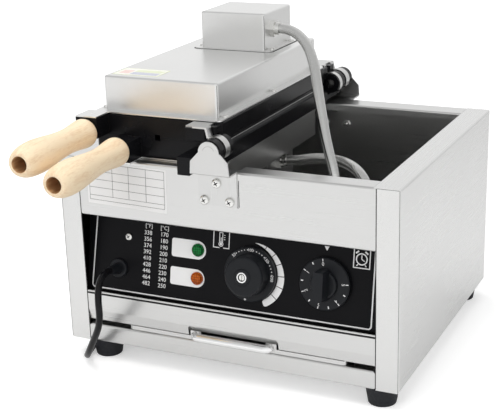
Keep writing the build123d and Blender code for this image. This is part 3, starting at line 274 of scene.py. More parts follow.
def hose_rings():
    """Tree that sweeps a curve and sets a low rib at each turn of the strip."""
    group = bpy.data.node_groups.new("wound_hose", "GeometryNodeTree")
    group.interface.new_socket("Line", in_out="INPUT", socket_type="NodeSocketGeometry")
    pitch = group.interface.new_socket("Rib pitch", in_out="INPUT", socket_type="NodeSocketFloat")
    rib = group.interface.new_socket("Rib radius", in_out="INPUT", socket_type="NodeSocketFloat")
    wall = group.interface.new_socket("Hose radius", in_out="INPUT", socket_type="NodeSocketFloat")
    steel = group.interface.new_socket("Steel", in_out="INPUT", socket_type="NodeSocketMaterial")
    group.interface.new_socket("Hose", in_out="OUTPUT", socket_type="NodeSocketGeometry")
    new = group.nodes.new
    link = group.links.new
    given, result = new("NodeGroupInput"), new("NodeGroupOutput")
    tube = new("GeometryNodeCurveToMesh")
    tube.inputs["Fill Caps"].default_value = True
    round_section = new("GeometryNodeCurvePrimitiveCircle")
    round_section.inputs["Resolution"].default_value = hose_faces
    link(given.outputs["Hose radius"], round_section.inputs["Radius"])
    link(given.outputs["Line"], tube.inputs["Curve"])
    link(round_section.outputs["Curve"], tube.inputs["Profile Curve"])
    stations = new("GeometryNodeCurveToPoints")
    stations.mode = "LENGTH"
    link(given.outputs["Line"], stations.inputs["Curve"])
    link(given.outputs["Rib pitch"], stations.inputs["Length"])
    ring_line = new("GeometryNodeCurvePrimitiveCircle")
    ring_line.inputs["Resolution"].default_value = hose_faces
    link(given.outputs["Hose radius"], ring_line.inputs["Radius"])
    ring_section = new("GeometryNodeCurvePrimitiveCircle")
    ring_section.inputs["Resolution"].default_value = rib_faces
    link(given.outputs["Rib radius"], ring_section.inputs["Radius"])
    ring = new("GeometryNodeCurveToMesh")
    link(ring_line.outputs["Curve"], ring.inputs["Curve"])
    link(ring_section.outputs["Curve"], ring.inputs["Profile Curve"])
    set_on = new("GeometryNodeInstanceOnPoints")
    link(stations.outputs["Points"], set_on.inputs["Points"])
    link(stations.outputs["Rotation"], set_on.inputs["Rotation"])
    link(ring.outputs["Mesh"], set_on.inputs["Instance"])
    join = new("GeometryNodeJoinGeometry")
    link(tube.outputs["Mesh"], join.inputs["Geometry"])
    link(set_on.outputs["Instances"], join.inputs["Geometry"])
    real = new("GeometryNodeRealizeInstances")
    link(join.outputs["Geometry"], real.inputs["Geometry"])
    smooth = new("GeometryNodeSetShadeSmooth")
    link(real.outputs["Geometry"], smooth.inputs["Geometry"])
    paint = new("GeometryNodeSetMaterial")
    link(smooth.outputs["Geometry"], paint.inputs["Geometry"])
    link(given.outputs["Steel"], paint.inputs["Material"])
    link(paint.outputs["Geometry"], result.inputs["Hose"])
    values = {
        pitch.identifier: rib_pitch, rib.identifier: rib_radius, wall.identifier: hose_core,
        steel.identifier: hose_steel,
    }
    return group, values


def made_plain(worked, name):
    """Plain mesh object of what a modified object shows; the worked one goes."""
    view = bpy.context.evaluated_depsgraph_get()
    mesh = bpy.data.meshes.new_from_object(worked.evaluated_get(view), depsgraph=view)
    mesh.name = name
    piece = bpy.data.objects.new(name, mesh)
    bpy.context.collection.objects.link(piece)
    bpy.data.objects.remove(worked)
    return piece


ring_tree, ring_values = hose_rings()


def hose(name, points):
    """Wound hose along the points, and the line that it follows."""
    line = smooth_line(name + "_line", points)
    path = [v.co.copy() for v in bpy.data.meshes.new_from_object(line).vertices]
    worked = line.modifiers.new("wound", "NODES")
    worked.node_group = ring_tree
    for identifier, value in ring_values.items():
        worked[identifier] = value
    return made_plain(line, name), path


upper_hose_points = placed([
    (-21, 204, 308.5),
    (-8, 204, 308.5),
    (16.5, 187, 299),
    (34, 166, 281),
    (45, 148, 257),
    (50.5, 140, 244.5),
])
upper_tail_points = placed([
    (50.5, 140, 244.5),
    (56, 132, 232),
    (67, 117, 208),
    (78, 104.5, 188.5),
    (84.5, 97.5, 173.5),
    (86, 96, 158),
])
lower_hose_points = placed([
    (-21, 215, 155.5),
    (-8, 213.5, 156.5),
    (15, 194, 166.5),
    (38, 174, 174.5),
    (62, 152, 181),
    (83, 132, 185),
    (100, 116.5, 184),
    (112, 106.2, 177.5),
    (119, 100.1, 167.5),
    (120, 99, 158),
])
# Each hose is swept along its points and baked in place; the points a twelfth in from either
# end and the bodies at its two ends are listed, but nothing uses them.
held_share = 12
for name, points, node, first, last in (
    ("upper_hose", upper_hose_points, "upper_conduit", "upper_half", "lower_half"),
    ("upper_hose_tail", upper_tail_points, "upper_conduit_tail", "lower_half", "case"),
    ("lower_hose", lower_hose_points, "lower_conduit", "lower_half", "case"),
):
    piece, path = hose(name, points)
    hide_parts(node)
    near, far = path[len(path) // held_share], path[-len(path) // held_share]
    if name == "upper_hose":
        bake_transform(piece)
    else:
        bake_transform(piece)

# Room: a white floor that keeps the cooker's soft shadow and fades to pure white away from
# it, white walls that show in the steel, dimmer at both sides, and broad lamps above, in
# front and at the right.


def worked_out(tree, operation, *terms):
    """Result of sockets and plain numbers, put through one step of arithmetic."""
    step = tree.nodes.new("ShaderNodeMath")
    step.operation = operation
    for socket, term in zip(step.inputs, terms):
        if isinstance(term, float):
            socket.default_value = term
        else:
            tree.links.new(term, socket)
    return step.outputs["Value"]


floor_material = bpy.data.materials.new("white_floor")
floor_material.use_nodes = True
floor_in_steel = 0.14
floor_glow = (0.42, 0.95)
floor_fade = (0.9, 2.4)
tree = floor_material.node_tree
tree.nodes.clear()
matt = tree.nodes.new("ShaderNodeBsdfDiffuse")
matt.inputs["Color"].default_value = (0.80, 0.80, 0.80, 1)
glow = tree.nodes.new("ShaderNodeEmission")
glow.inputs["Color"].default_value = (1, 1, 1, 1)
rays = tree.nodes.new("ShaderNodeLightPath")
mirrored = worked_out(tree, "MULTIPLY", rays.outputs["Is Glossy Ray"], floor_in_steel)
spot = tree.nodes.new("ShaderNodeNewGeometry")
away = tree.nodes.new("ShaderNodeVectorMath")
away.operation = "LENGTH"
tree.links.new(spot.outputs["Position"], away.inputs[0])
fade = spanned(tree, away.outputs["Value"], *floor_glow, *floor_fade)
amount = worked_out(tree, "MULTIPLY_ADD", rays.outputs["Is Camera Ray"], fade, mirrored)
tree.links.new(amount, glow.inputs["Strength"])
both = tree.nodes.new("ShaderNodeAddShader")
tree.links.new(matt.outputs["BSDF"], both.inputs[0])
tree.links.new(glow.outputs["Emission"], both.inputs[1])
output = tree.nodes.new("ShaderNodeOutputMaterial")
tree.links.new(both.outputs["Shader"], output.inputs["Surface"])

floor_mesh = bpy.data.meshes.new("floor")
reach = 6.0
floor_corners = [(-reach, -reach, 0), (reach, -reach, 0), (reach, reach, 0), (-reach, reach, 0)]
floor_mesh.from_pydata(floor_corners, [], [(0, 1, 2, 3)])
floor_mesh.materials.append(floor_material)
floor = bpy.data.objects.new("floor", floor_mesh)
bpy.context.collection.objects.link(floor)

world = bpy.data.worlds.new("studio")
world.use_nodes = True
bpy.context.scene.world = world
tree = world.node_tree
air = tree.nodes["Background"]
air.inputs["Color"].default_value = (1, 1, 1, 1)
air_level = 0.55
flank_level = 0.62
flank_edge = (0.35, 0.80)
bright_ends = (0.43, -0.90, 0)
rays = tree.nodes.new("ShaderNodeLightPath")
seen = worked_out(tree, "MAXIMUM", rays.outputs["Is Camera Ray"], rays.outputs["Is Glossy Ray"])
shown = worked_out(tree, "MAXIMUM", seen, rays.outputs["Is Transmission Ray"])
strength = spanned(tree, shown, air_level, 1.0, 0.0, 1.0)
heading = tree.nodes.new("ShaderNodeTexCoord")
toward = tree.nodes.new("ShaderNodeVectorMath")
toward.operation = "DOT_PRODUCT"
toward.inputs[1].default_value = bright_ends
tree.links.new(heading.outputs["Generated"], toward.inputs[0])
either_way = worked_out(tree, "ABSOLUTE", toward.outputs["Value"])
flank = spanned(tree, either_way, flank_level, 1.0, *flank_edge)
in_steel = tree.nodes.new("ShaderNodeMix")
in_steel.data_type = "FLOAT"
in_steel.inputs[2].default_value = 1.0
tree.links.new(rays.outputs["Is Glossy Ray"], in_steel.inputs[0])
tree.links.new(flank, in_steel.inputs[3])
level = worked_out(tree, "MULTIPLY", strength, in_steel.outputs[0])
tree.links.new(level, air.inputs["Strength"])

for name, place, size, power in (
    ("lamp_above", (-0.3, -0.2, 1.9), 1.6, 22.0),
    ("lamp_front", (-0.5, -2.1, 1.0), 1.2, 12.0),
    ("lamp_right", (2.0, -0.6, 1.2), 1.2, 12.0),
):
    light = bpy.data.lights.new(name, "AREA")
    light.size = size
    light.energy = power
    lamp = bpy.data.objects.new(name, light)
    lamp.location = place
    lamp.rotation_euler = (aim - Vector(place)).to_track_quat("-Z", "Y").to_euler()
    lamp.visible_glossy = False
    bpy.context.collection.objects.link(lamp)

bpy.context.scene.view_settings.view_transform = "Standard"

# Case: panels, bands and deck folded from satin stainless sheet, spot-welded inside, with
# the rolling grain along each panel and faint handling marks.
smear_share = 0.6


def sheet_steel(name, stretch, roughness, tone=0.68, contrast=0.008):
    """Satin stainless with fine grain along one axis and broad soft smears."""
    material, tree, surface = finish(name, (tone, tone, tone * 0.99), roughness, 1.0)
    lines = grain(tree, stretch, 1.0, 3)
    smears = grain(tree, (1, 1, 1), 9, 3)
    handled = worked_out(tree, "MULTIPLY_ADD", smears, smear_share, lines)
    satin = surface.inputs["Roughness"]
    spread(tree, handled, roughness - 0.04, roughness + 0.05, satin, 0.5, 1.1)
    dark, light = tone * (1 - contrast), tone * (1 + contrast)
    tint(tree, surface, lines, (dark, dark, dark * 0.99), (light, light, light * 0.99))
    relief(tree, surface, lines, 0.008, 0.0001)
    return material


# Painted light: the side panels are given a lighter tone than the front and inner sheet.
front_steel = sheet_steel("front_sheet", (8, 1600, 1600), 0.30, 0.66)
side_steel = sheet_steel("side_sheet", (1600, 8, 1600), 0.28, 0.70)
inner_steel = sheet_steel("inner_sheet", (30, 1600, 1600), 0.34, 0.66)
wear(["front_band", "front_strip", "lower_rail", "rear_panel", "drip_tray"], front_steel)
wear(["left_side_panel", "right_side_panel"], side_steel)
wear(["compartment_shield", "base_pan", "tray_runners"], inner_steel)

# Hinge brackets, straps and all screws: pressed plates and pan-head screws of bright
# plated steel, the brackets brushed upright.
bracket_steel = sheet_steel("bracket_sheet", (1600, 1600, 10), 0.30, 0.64)
wear(["front_hinge_bracket", "rear_hinge_bracket", "hinge_straps"], bracket_steel)
plated, tree, surface = finish("bright_plating", (0.78, 0.78, 0.76), 0.16, 1.0)
spread(tree, grain(tree, (1, 1, 1), 240, 3), 0.12, 0.26, surface.inputs["Roughness"])
wear([
    "bracket_screws", "hinge_pins", "upper_cover_screws", "lower_cover_screws", "foot_screws",
    "panel_screw", "upper_ferrule", "lower_ferrule", "deck_glands", "upper_handle_rod",
    "lower_handle_rod", "temperature_shaft", "timer_shaft", "plug_pins", "upper_heater", "lower_heater",
], plated)
chrome, tree, surface = finish("polished_chrome", (0.88, 0.88, 0.88), 0.06, 1.0)
spread(tree, grain(tree, (1, 1, 1), 60, 3), 0.04, 0.09, surface.inputs["Roughness"])
wear(["tray_handle", "knob_ring"], chrome)

# Feet: four round rubber buffers, matt black with a fine moulded skin, each screwed up
# into the case's bottom.
foot_rubber, tree, surface = finish("foot_rubber", (0.012, 0.013, 0.016), 0.6, gloss=0.3)
skin = grain(tree, (1, 1, 1), 420, 4)
spread(tree, skin, 0.5, 0.7, surface.inputs["Roughness"])
relief(tree, surface, skin, 0.2, 0.0003)
wear(["feet"], foot_rubber)

# Covers and wiring boxes: folded stainless with a soft satin that mirrors the hose and the
# moulds, and painted light in a tone lighter than the case's.
cover_steel = sheet_steel("cover_sheet", (1600, 8, 1600), 0.33, 0.80)
wear(["upper_cover", "lower_cover", "upper_wiring_box", "lower_wiring_box"], cover_steel)

# Moulds: cast metal under a smooth black non-stick coat, glossy on the machined walls
# with a very fine orange peel.
coat, tree, surface = finish("non_stick_coat", (0.006, 0.006, 0.007), 0.2, gloss=0.14)
peel = grain(tree, (1, 1, 1), 500, 3)
spread(tree, grain(tree, (1, 1, 1), 30, 4), 0.16, 0.30, surface.inputs["Roughness"])
soften(tree, relief(tree, surface, peel, 0.12, 0.0003), 0.0007)
wear(["upper_mould", "lower_mould"], coat)

# Control panel: sheet steel with a satin black finish, leaning back between the posts, and
# the plain steel ledge that carries its foot.
panel_paint, tree, surface = finish("panel_black", (0.006, 0.006, 0.007), 0.32, gloss=0.08)
stipple = grain(tree, (1, 1, 1), 900, 2)
spread(tree, grain(tree, (1, 1, 1), 40, 3), 0.3, 0.4, surface.inputs["Roughness"])
relief(tree, surface, stipple, 0.08, 0.0001)
wear(["control_panel"], panel_paint)
wear(["panel_ledge"], front_steel)

# Knobs, gland and plug: moulded black plastic with a fine spark-eroded skin. The knobs
# push on to their shafts, and a nut behind the panel holds the gland.
knob_plastic, tree, surface = finish("knob_plastic", (0.008, 0.009, 0.011), 0.34, gloss=0.22)
skin = grain(tree, (1, 1, 1), 700, 3)
spread(tree, skin, 0.28, 0.42, surface.inputs["Roughness"])
relief(tree, surface, skin, 0.1, 0.0002)
wear(["temperature_knob", "timer_knob", "cable_gland", "gland_nut", "plug"], knob_plastic)

# Housings behind the panel: plain moulded plastic of the bought thermostat, timer and
# terminal block.
housing, tree, surface = finish("housing_plastic", (0.30, 0.30, 0.31), 0.5)
relief(tree, surface, grain(tree, (1, 1, 1), 300, 3), 0.1, 0.0002)
wear(["thermostat", "timer"], housing)
terminal, tree, surface = finish("terminal_plastic", (0.70, 0.70, 0.66), 0.45)
relief(tree, surface, grain(tree, (1, 1, 1), 300, 3), 0.1, 0.0002)
wear(["terminal_block"], terminal)

# Lamps: clear coloured lenses with moulded facets, green above and orange below, pushed
# into holes in the panel.


def lens(name, dark, light):
    """Coloured lens whose inner facets catch the light."""
    material, tree, surface = finish(name, light, 0.2, gloss=0.15)
    place = tree.nodes.new("ShaderNodeTexCoord")
    cells = tree.nodes.new("ShaderNodeTexVoronoi")
    cells.inputs["Scale"].default_value = 420
    cells.inputs["Randomness"].default_value = 0.2
    tree.links.new(place.outputs["Object"], cells.inputs["Vector"])
    tint(tree, surface, cells.outputs["Distance"], light, dark, 0.15, 0.6)
    surface.inputs["Coat Weight"].default_value = 0.12
    surface.inputs["Coat Roughness"].default_value = 0.08
    return material


wear(["power_lamp"], lens("green_lens", (0.0, 0.06, 0.012), (0.002, 0.21, 0.035)))
wear(["heat_lamp"], lens("orange_lens", (0.22, 0.036, 0.001), (0.54, 0.115, 0.004)))

# Handles: turned from pale beech, sanded and lightly oiled, bored for the rod's nut, with
# short brown rays in the grain, and the bore painted a darker brown as its shade.
handle_profile = [
    (4.1, 0), (10.4, 0), (12.4, 0.4), (13.9, 1.6), (14.75, 4.2), (14.85, 7.5), (14.35, 14), (13.3, 22.5),
    (12.55, 31), (12.4, 38), (12.65, 47), (13.4, 58), (14.5, 69), (15.6, 80), (16.3, 89), (16.45, 95.5),
    (16.2, 102), (15.6, 109), (14.6, 114), (13.2, 117.8), (11.8, 120.4), (10.3, 121.8), (8.8, 122),
    (7.9, 121.6), (7.6, 120.4), (7.6, 106), (7.6, 94), (7.6, 82), (4.1, 82),
]
bore_start = 23
splay = math.radians(2.3)
handle_way = Vector((math.sin(splay), -math.cos(splay), 0))
handle_foot = -0.11425
handle_gap = 0.0014
handle_faces = 64


def turned(name, profile, foot, way, faces, inner):
    """Round piece turned from a profile of radius and distance, in millimetres.

    Rings of the profile from the inner one on take the second material.
    """
    side = way.cross(Vector((0, 0, 1))).normalized()
    lift = side.cross(way)
    shape = bmesh.new()
    rings = []
    for radius, distance in profile:
        ring = []
        for n in range(faces):
            angle = 2 * math.pi * n / faces
            out = side * math.cos(angle) + lift * math.sin(angle)
            ring.append(shape.verts.new(foot + way * (distance / 1000) + out * (radius / 1000)))
        rings.append(ring)
    for row, (a, b) in enumerate(zip(rings, rings[1:] + rings[:1])):
        for n in range(faces):
            m = (n + 1) % faces
            face = shape.faces.new((a[n], a[m], b[m], b[n]))
            face.material_index = int(row >= inner)
    bmesh.ops.recalc_face_normals(shape, faces=shape.faces[:])
    for face in shape.faces:
        face.smooth = True
    mesh = bpy.data.meshes.new(name)
    shape.to_mesh(mesh)
    shape.free()
    piece = bpy.data.objects.new(name, mesh)
    bpy.context.collection.objects.link(piece)
    return piece


beech, tree, surface = finish("sanded_beech", (0.80, 0.655, 0.46), 0.5)
fibres = grain(tree, (120, 7, 120), 1.0, 5)
flecks = grain(tree, (900, 150, 900), 1.0, 2)
fleck_share = 0.5
figured = worked_out(tree, "MULTIPLY_ADD", flecks, fleck_share, fibres)
tint(tree, surface, figured, (0.72, 0.51, 0.31), (0.86, 0.70, 0.49), 0.48, 0.80)
spread(tree, fibres, 0.44, 0.6, surface.inputs["Roughness"])
relief(tree, surface, flecks, 0.12, 0.0002)
surface.inputs["Subsurface Weight"].default_value = 0.05
surface.inputs["Subsurface Radius"].default_value = (0.004, 0.002, 0.001)
# Painted shade: the bore's walls and floor take a darker brown than the outside.
bore_painted_shade, tree, surface = finish("beech_bore_painted_shade", (0.52, 0.29, 0.13), 0.62)
tint(tree, surface, grain(tree, (300, 20, 300), 1.0, 4), (0.38, 0.19, 0.08), (0.62, 0.38, 0.19))
relief(tree, surface, grain(tree, (60, 900, 60), 1.0, 3), 0.3, 0.0002)

for name, body, node, across, height in (
    ("upper_grip", "upper_half", "upper_handle", -0.141, 0.2551),
    ("lower_grip", "lower_half", "lower_handle", -0.105, 0.2392),
):
    foot = Vector((across, handle_foot, height)) + handle_way * handle_gap
    grip = turned(name, handle_profile, foot, handle_way, handle_faces, bore_start)
    sanded = grip.modifiers.new("soft", "SUBSURF")
    sanded.levels = 1
    sanded.render_levels = 1
    grip.data.materials.append(beech)
    grip.data.materials.append(bore_painted_shade)
    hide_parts(node)
    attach(grip, body)

# Marks on the panel: white enamel printed flat on the black, an outline, two lamp
# plates, the two columns of degrees, the swelling arc, and the plain signs of a
# thermometer and a clock.
white_ink, tree, surface = finish("white_ink", (0.80, 0.80, 0.80), 0.45)
spread(tree, grain(tree, (1, 1, 1), 500, 2), 0.4, 0.5, surface.inputs["Roughness"])
ink_height = 0.08  # millimetres, as are all sizes of the marks
ink_seat = 0.03
type_ratio = 1.37
ring_faces = 32


class Print:
    """Flat marks on one plane, gathered in one mesh; sizes are in millimetres."""

    def __init__(self, centre, up, out):
        self.shape = bmesh.new()
        self.centre = centre
        self.across = up.cross(out)
        self.up = up
        self.out = out

    def point(self, x, y, height):
        """Place across and up from the centre, and out of the plane."""
        return self.centre + (self.across * x + self.up * y + self.out * height) / 1000

    def area(self, outline, inner=None):
        """Thin plate inside an outline, or between it and an inner one of as many points."""
        low = [self.shape.verts.new(self.point(x, y, 0)) for x, y in outline]
        high = [self.shape.verts.new(self.point(x, y, ink_height)) for x, y in outline]
        count = len(outline)
        sides = [(n, (n + 1) % count) for n in range(count)]
        for n, m in sides:
            self.shape.faces.new((low[n], low[m], high[m], high[n]))
        if inner is None:
            self.shape.faces.new(high)
            self.shape.faces.new(low[::-1])
            return
        low_in = [self.shape.verts.new(self.point(x, y, 0)) for x, y in inner]
        high_in = [self.shape.verts.new(self.point(x, y, ink_height)) for x, y in inner]
        for n, m in sides:
            self.shape.faces.new((high[n], high[m], high_in[m], high_in[n]))
            self.shape.faces.new((low[m], low[n], low_in[n], low_in[m]))
            self.shape.faces.new((high_in[n], high_in[m], low_in[m], low_in[n]))

    def bar(self, x0, y0, x1, y1, width):
        """Straight line of a width."""
        length = math.hypot(x1 - x0, y1 - y0)
        ox, oy = (y0 - y1) / length * width / 2, (x1 - x0) / length * width / 2
        self.area([(x0 - ox, y0 - oy), (x1 - ox, y1 - oy), (x1 + ox, y1 + oy), (x0 + ox, y0 + oy)])

    def ring(self, x, y, radius, width):
        """Round line of a width."""
        turn = [2 * math.pi * n / ring_faces for n in range(ring_faces)]
        outer = [(x + radius * math.cos(a), y + radius * math.sin(a)) for a in turn]
        inside = [(x + (radius - width) * math.cos(a), y + (radius - width) * math.sin(a)) for a in turn]
        self.area(outer, inside)

    def words(self, text, x, y, height, turn=0.0):
        """Plain figures centred on a point, turned by some degrees."""
        font = bpy.data.curves.new("figures", "FONT")
        font.body = text
        font.size = height * type_ratio
        font.align_x = "CENTER"
        font.align_y = "CENTER"
        font.resolution_u = 3
        font.extrude = ink_height / 2
        holder = bpy.data.objects.new("figures", font)
        bpy.context.collection.objects.link(holder)
        mesh = bpy.data.meshes.new_from_object(holder)
        c, s = math.cos(math.radians(turn)), math.sin(math.radians(turn))
        for v in mesh.vertices:
            px, py, pz = v.co
            v.co = self.point(x + px * c - py * s, y + px * s + py * c, pz + ink_height / 2)
        self.shape.from_mesh(mesh)
        bpy.data.objects.remove(holder)
        bpy.data.meshes.remove(mesh)

    def done(self, name, body, material):
        """Finished piece riding on a body."""
        bmesh.ops.recalc_face_normals(self.shape, faces=self.shape.faces[:])
        mesh = bpy.data.meshes.new(name)
        self.shape.to_mesh(mesh)
        self.shape.free()
        mesh.materials.append(material)
        piece = bpy.data.objects.new(name, mesh)
        bpy.context.collection.objects.link(piece)
        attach(piece, body)
        return piece


def swept(x, y, radius, start, step, count):
    """Points on a circle, from an angle on in even steps of degrees."""
    turn = [math.radians(start + step * n) for n in range(count)]
    return [(x + radius * math.cos(a), y + radius * math.sin(a)) for a in turn]


def rounded(x0, y0, x1, y1, radius):
    """Rectangle with rounded corners, as points."""
    corners = (
        (x1 - radius, y1 - radius, 0), (x0 + radius, y1 - radius, 90),
        (x0 + radius, y0 + radius, 180), (x1 - radius, y0 + radius, 270),
    )
    return [point for x, y, start in corners for point in swept(x, y, radius, start, 15, 7)]


marks = Print(on_panel(0, 0, ink_seat), panel_up, panel_out)
left_lean = 0.054
outline_edges = [
    [(x + (left_lean * y if x < 0 else 0), y) for x, y in rounded(*box)]
    for box in ((-160.4, 1.1, 154.5, 92.5, 4), (-159.0, 2.5, 153.1, 91.1, 2.6))
]
marks.area(*outline_edges)
for n in range(9):
    part = n / 8
    marks.words(str(338 + 18 * n), -93.9 - 0.9 * part, 67.2 - 53.5 * part, 4.6)
    marks.words(str(170 + 10 * n), -74.8 - 1.3 * part, 67.3 - 54.1 * part, 4.6)
marks.words("[°F]", -93.1, 74.7, 4.2)
marks.words("[°C]", -74.6, 74.2, 4.2)
thermometer_lines = (
    (-18.2, 61.5, -18.2, 83, 0.9),
    (-0.8, 61.5, -0.8, 83, 0.9),
    (-18.7, 61.9, -11.4, 61.9, 0.9),
    (-7.2, 61.9, -0.3, 61.9, 0.9),
    (-18.7, 83, -0.3, 83, 0.9),
    (-11.6, 66.8, -11.6, 77.2, 0.7),
    (-8.2, 66.8, -8.2, 77.2, 0.7),
    (-11.9, 77.4, -7.9, 77.4, 0.7),
    (-9.9, 66, -9.9, 72.5, 0.7),
)
for line in thermometer_lines:
    marks.bar(*line)
marks.ring(-9.9, 65.7, 2.6, 0.7)
marks.ring(-9.9, 65.7, 1.4, 1.39)
for n in range(3):
    marks.bar(-6.9, 70.6 + 2.2 * n, -5.2, 70.6 + 2.2 * n, 0.5)
marks.area(rounded(131.7, 60.0, 149.1, 79.5, 0.4), rounded(132.7, 61.0, 148.1, 78.5, 0.4))
marks.ring(140.2, 69.2, 6.0, 1.2)
clock_lines = (
    (140.2, 69.2, 140.2, 73.2, 0.9),
    (140.2, 69.2, 143.2, 67.4, 0.9),
    (134.0, 74.6, 137.0, 77.0, 1.6),
    (143.4, 77.0, 146.4, 74.6, 1.6),
    (136.6, 63.9, 135.2, 62.2, 1.0),
    (143.8, 63.9, 145.2, 62.2, 1.0),
)
for line in clock_lines:
    marks.bar(*line)
marks.area([(104.3, 73.1), (106.8, 77.6), (101.6, 77.6)])
thermostat_centre = (25.5, 40.0)
arc_steps = 12
arc_overlap = 1.3
arc_bounds = (85, 62, 42, 23, 1, -19, -40, -66)
arc_shape = (
    (85, 31.3, 31.6), (62, 29.7, 32.8), (42, 28.9, 33.8), (23, 28.7, 34.5), (0, 28.6, 35.4),
    (-20, 28.6, 36.0), (-40, 28.6, 36.1), (-60, 28.8, 35.9), (-63, 29.2, 35.5), (-66, 31.0, 33.6),
)


def arc_radii(angle):
    """Inner and outer radius of the swelling arc at an angle."""
    for (a0, in0, out0), (a1, in1, out1) in zip(arc_shape, arc_shape[1:]):
        if angle >= a1:
            part = (a0 - angle) / (a0 - a1)
            return in0 + (in1 - in0) * part, out0 + (out1 - out0) * part
    return arc_shape[-1][1:]


for first, last in zip(arc_bounds, arc_bounds[1:]):
    outer, inside = [], []
    for k in range(arc_steps + 1):
        angle = first + (last + arc_overlap - first) * k / arc_steps
        near, far = arc_radii(angle)
        c, s = math.cos(math.radians(angle)), math.sin(math.radians(angle))
        outer.append((thermostat_centre[0] + far * c, thermostat_centre[1] + far * s))
        inside.append((thermostat_centre[0] + near * c, thermostat_centre[1] + near * s))
    marks.area(outer + inside[::-1])
marks.done("panel_marks", "case", white_ink)

plates = Print(on_panel(0, 0, ink_seat), panel_up, panel_out)
plate_corner = 2.5
for left, right_end, low, high in ((-65.6, -26.3, 46.5, 65.8), (-66.3, -26.9, 17.1, 35.9)):
    half = (high - low) / 2
    outline = swept(right_end - half, low + half, half, -90, 10, 19)
    outline += swept(left + plate_corner, high - plate_corner, plate_corner, 90, 18, 6)
    outline += swept(left + plate_corner, low + plate_corner, plate_corner, 180, 18, 6)
    plates.area(outline)
plates.done("lamp_plates", "case", white_ink)

# Marks on the knobs: the same white, pad-printed on the flat dials, with dots and
# figures on the thermostat and strokes and figures on the timer.
disc_top = 6.5
dot_circle = 25.0
figure_circle = 24.8
scale_start = 134
dot_step = 7.55
figure_step = 45.3
dial = Print(on_panel(*thermostat_centre, disc_top), panel_up, panel_out)
for n in range(19):
    angle = math.radians(scale_start - n * dot_step)
    if n % 6 == 0:
        continue
    dial.area(swept(dot_circle * math.cos(angle), dot_circle * math.sin(angle), 0.6, 0, 45, 8))
for n, text in enumerate(("50", "100", "150", "200")):
    angle = scale_start - n * figure_step
    c, s = math.cos(math.radians(angle)), math.sin(math.radians(angle))
    dial.words(text, figure_circle * c, figure_circle * s, 3.2, angle - 90)
for angle, circle, radius, width in ((-115, dot_circle, 0.6, 0.59), (-97, 25.8, 1.0, 0.5)):
    c, s = math.cos(math.radians(angle)), math.sin(math.radians(angle))
    dial.ring(circle * c, circle * s, radius, width)
dial.done("thermostat_marks", "temperature_dial", white_ink)

timer_centre = (105.5, 41.0)
timer_start = 96
stroke_step = 27.0
clock = Print(on_panel(*timer_centre, disc_top), panel_up, panel_out)
for n in range(11):
    angle = timer_start + stroke_step * n
    c, s = math.cos(math.radians(angle)), math.sin(math.radians(angle))
    if n % 2 == 0:
        clock.bar(22.6 * c, 22.6 * s, 25.2 * c, 25.2 * s, 0.8)
        clock.words(str(n // 2), 19.9 * c, 19.9 * s, 3.6, angle - 90)
    else:
        clock.bar(21.8 * c, 21.8 * s, 24.2 * c, 24.2 * s, 1.1)
clock.done("timer_marks", "timer_dial", white_ink)

# Joints: the dark lines where folded sheets meet at the posts and the cover's corners. Painted
# shadow: a dark plate under the wiring box's flange, lines beside and under the front
# bracket, and dark crosses for the shade in the screw heads' cross recesses.
joints_and_shade_dark, tree, surface = finish("joint_gap_and_painted_shade", (0.025, 0.025, 0.025), 0.6, gloss=0.1)
spread(tree, grain(tree, (1, 1, 1), 300, 2), 0.5, 0.7, surface.inputs["Roughness"])
upward = Vector((0, 0, 1))
backward = Vector((0, 1, 0))
toward_front = Vector((0, -1, 0))
off_sheet = 0.00002
cover_top = 0.306
case_joints_and_shadow = Print(Vector((0, front - off_sheet, ground)), upward, toward_front)
for way in (-1, 1):
    case_joints_and_shadow.bar(way * 161.4, 1, way * 161.4, 204.5, 0.9)
    case_joints_and_shadow.bar(way * 162, 204.6, way * 183.6, 204.6, 0.35)
    case_joints_and_shadow.bar(way * 184.1, 1, way * 184.1, 204.4, 0.35)
# Painted shadow: a dark line beside the front bracket's right edge and one under its foot.
case_joints_and_shadow.bar(21.35, 170.5, 21.35, 197.5, 0.7)
case_joints_and_shadow.bar(-161, 55.15, 161, 55.15, 2.1)
case_joints_and_shadow.bar(-21, 169.8, 21, 169.8, 0.35)
case_joints_and_shadow.done("case_joints_and_shadow", "case", joints_and_shade_dark)
# Painted shadow: a dark plate a little larger than the wiring box's flange, on the cover top, for the
# shadow under its edge.
flange_shadow = Print(Vector((-0.0695, front + 0.2205, cover_top + off_sheet)), backward, upward)
flange_shadow.area(rounded(-48.2, -41.8, 48.2, 41.0, 7))
flange_shadow.done("box_flange_shadow", "upper_half", joints_and_shade_dark)
slant = Vector((0.70711, -0.70711, 0))
for name, across, depth, foot, top in (
    ("cover_corner", -10.88, 24.88, 271, 303.6),
    ("box_corner", -31.74, 184.74, 307.2, 344.6),
):
    edge = Print(Vector((across / 1000, front + depth / 1000, 0)), upward, slant)
    edge.bar(0, foot, 0, top, 0.5)
    edge.done(name, "upper_half", joints_and_shade_dark)
bracket_holes = ((-0.0014, 0.2132), (-0.0153, 0.1949), (0.0122, 0.1951))
head_height = 4.52
cross_reach = 2.4
# Painted shade: a dark cross on each bracket screw's head for the shade in its cross recess.
for number, (across, height) in enumerate(bracket_holes):
    head = Vector((across, front, height)) + toward_front * (head_height / 1000)
    cross = Print(head, upward, toward_front)
    for angle in (32, 122):
        c = cross_reach * math.cos(math.radians(angle))
        s = cross_reach * math.sin(math.radians(angle))
        cross.bar(-c, -s, c, s, 1.0)
    cross.done("screw_cross_" + str(number), "case", joints_and_shade_dark)
# Painted shade: a dark cross on the panel screw's head for the shade in its recess.
panel_cross = Print(on_panel(-116.5, 60.5, 2.47), panel_up, panel_out)
panel_cross.bar(-1.6, -1.4, 1.6, 1.4, 0.8)
panel_cross.bar(-1.4, 1.6, 1.4, -1.6, 0.8)
panel_cross.done("panel_screw_cross", "case", joints_and_shade_dark)
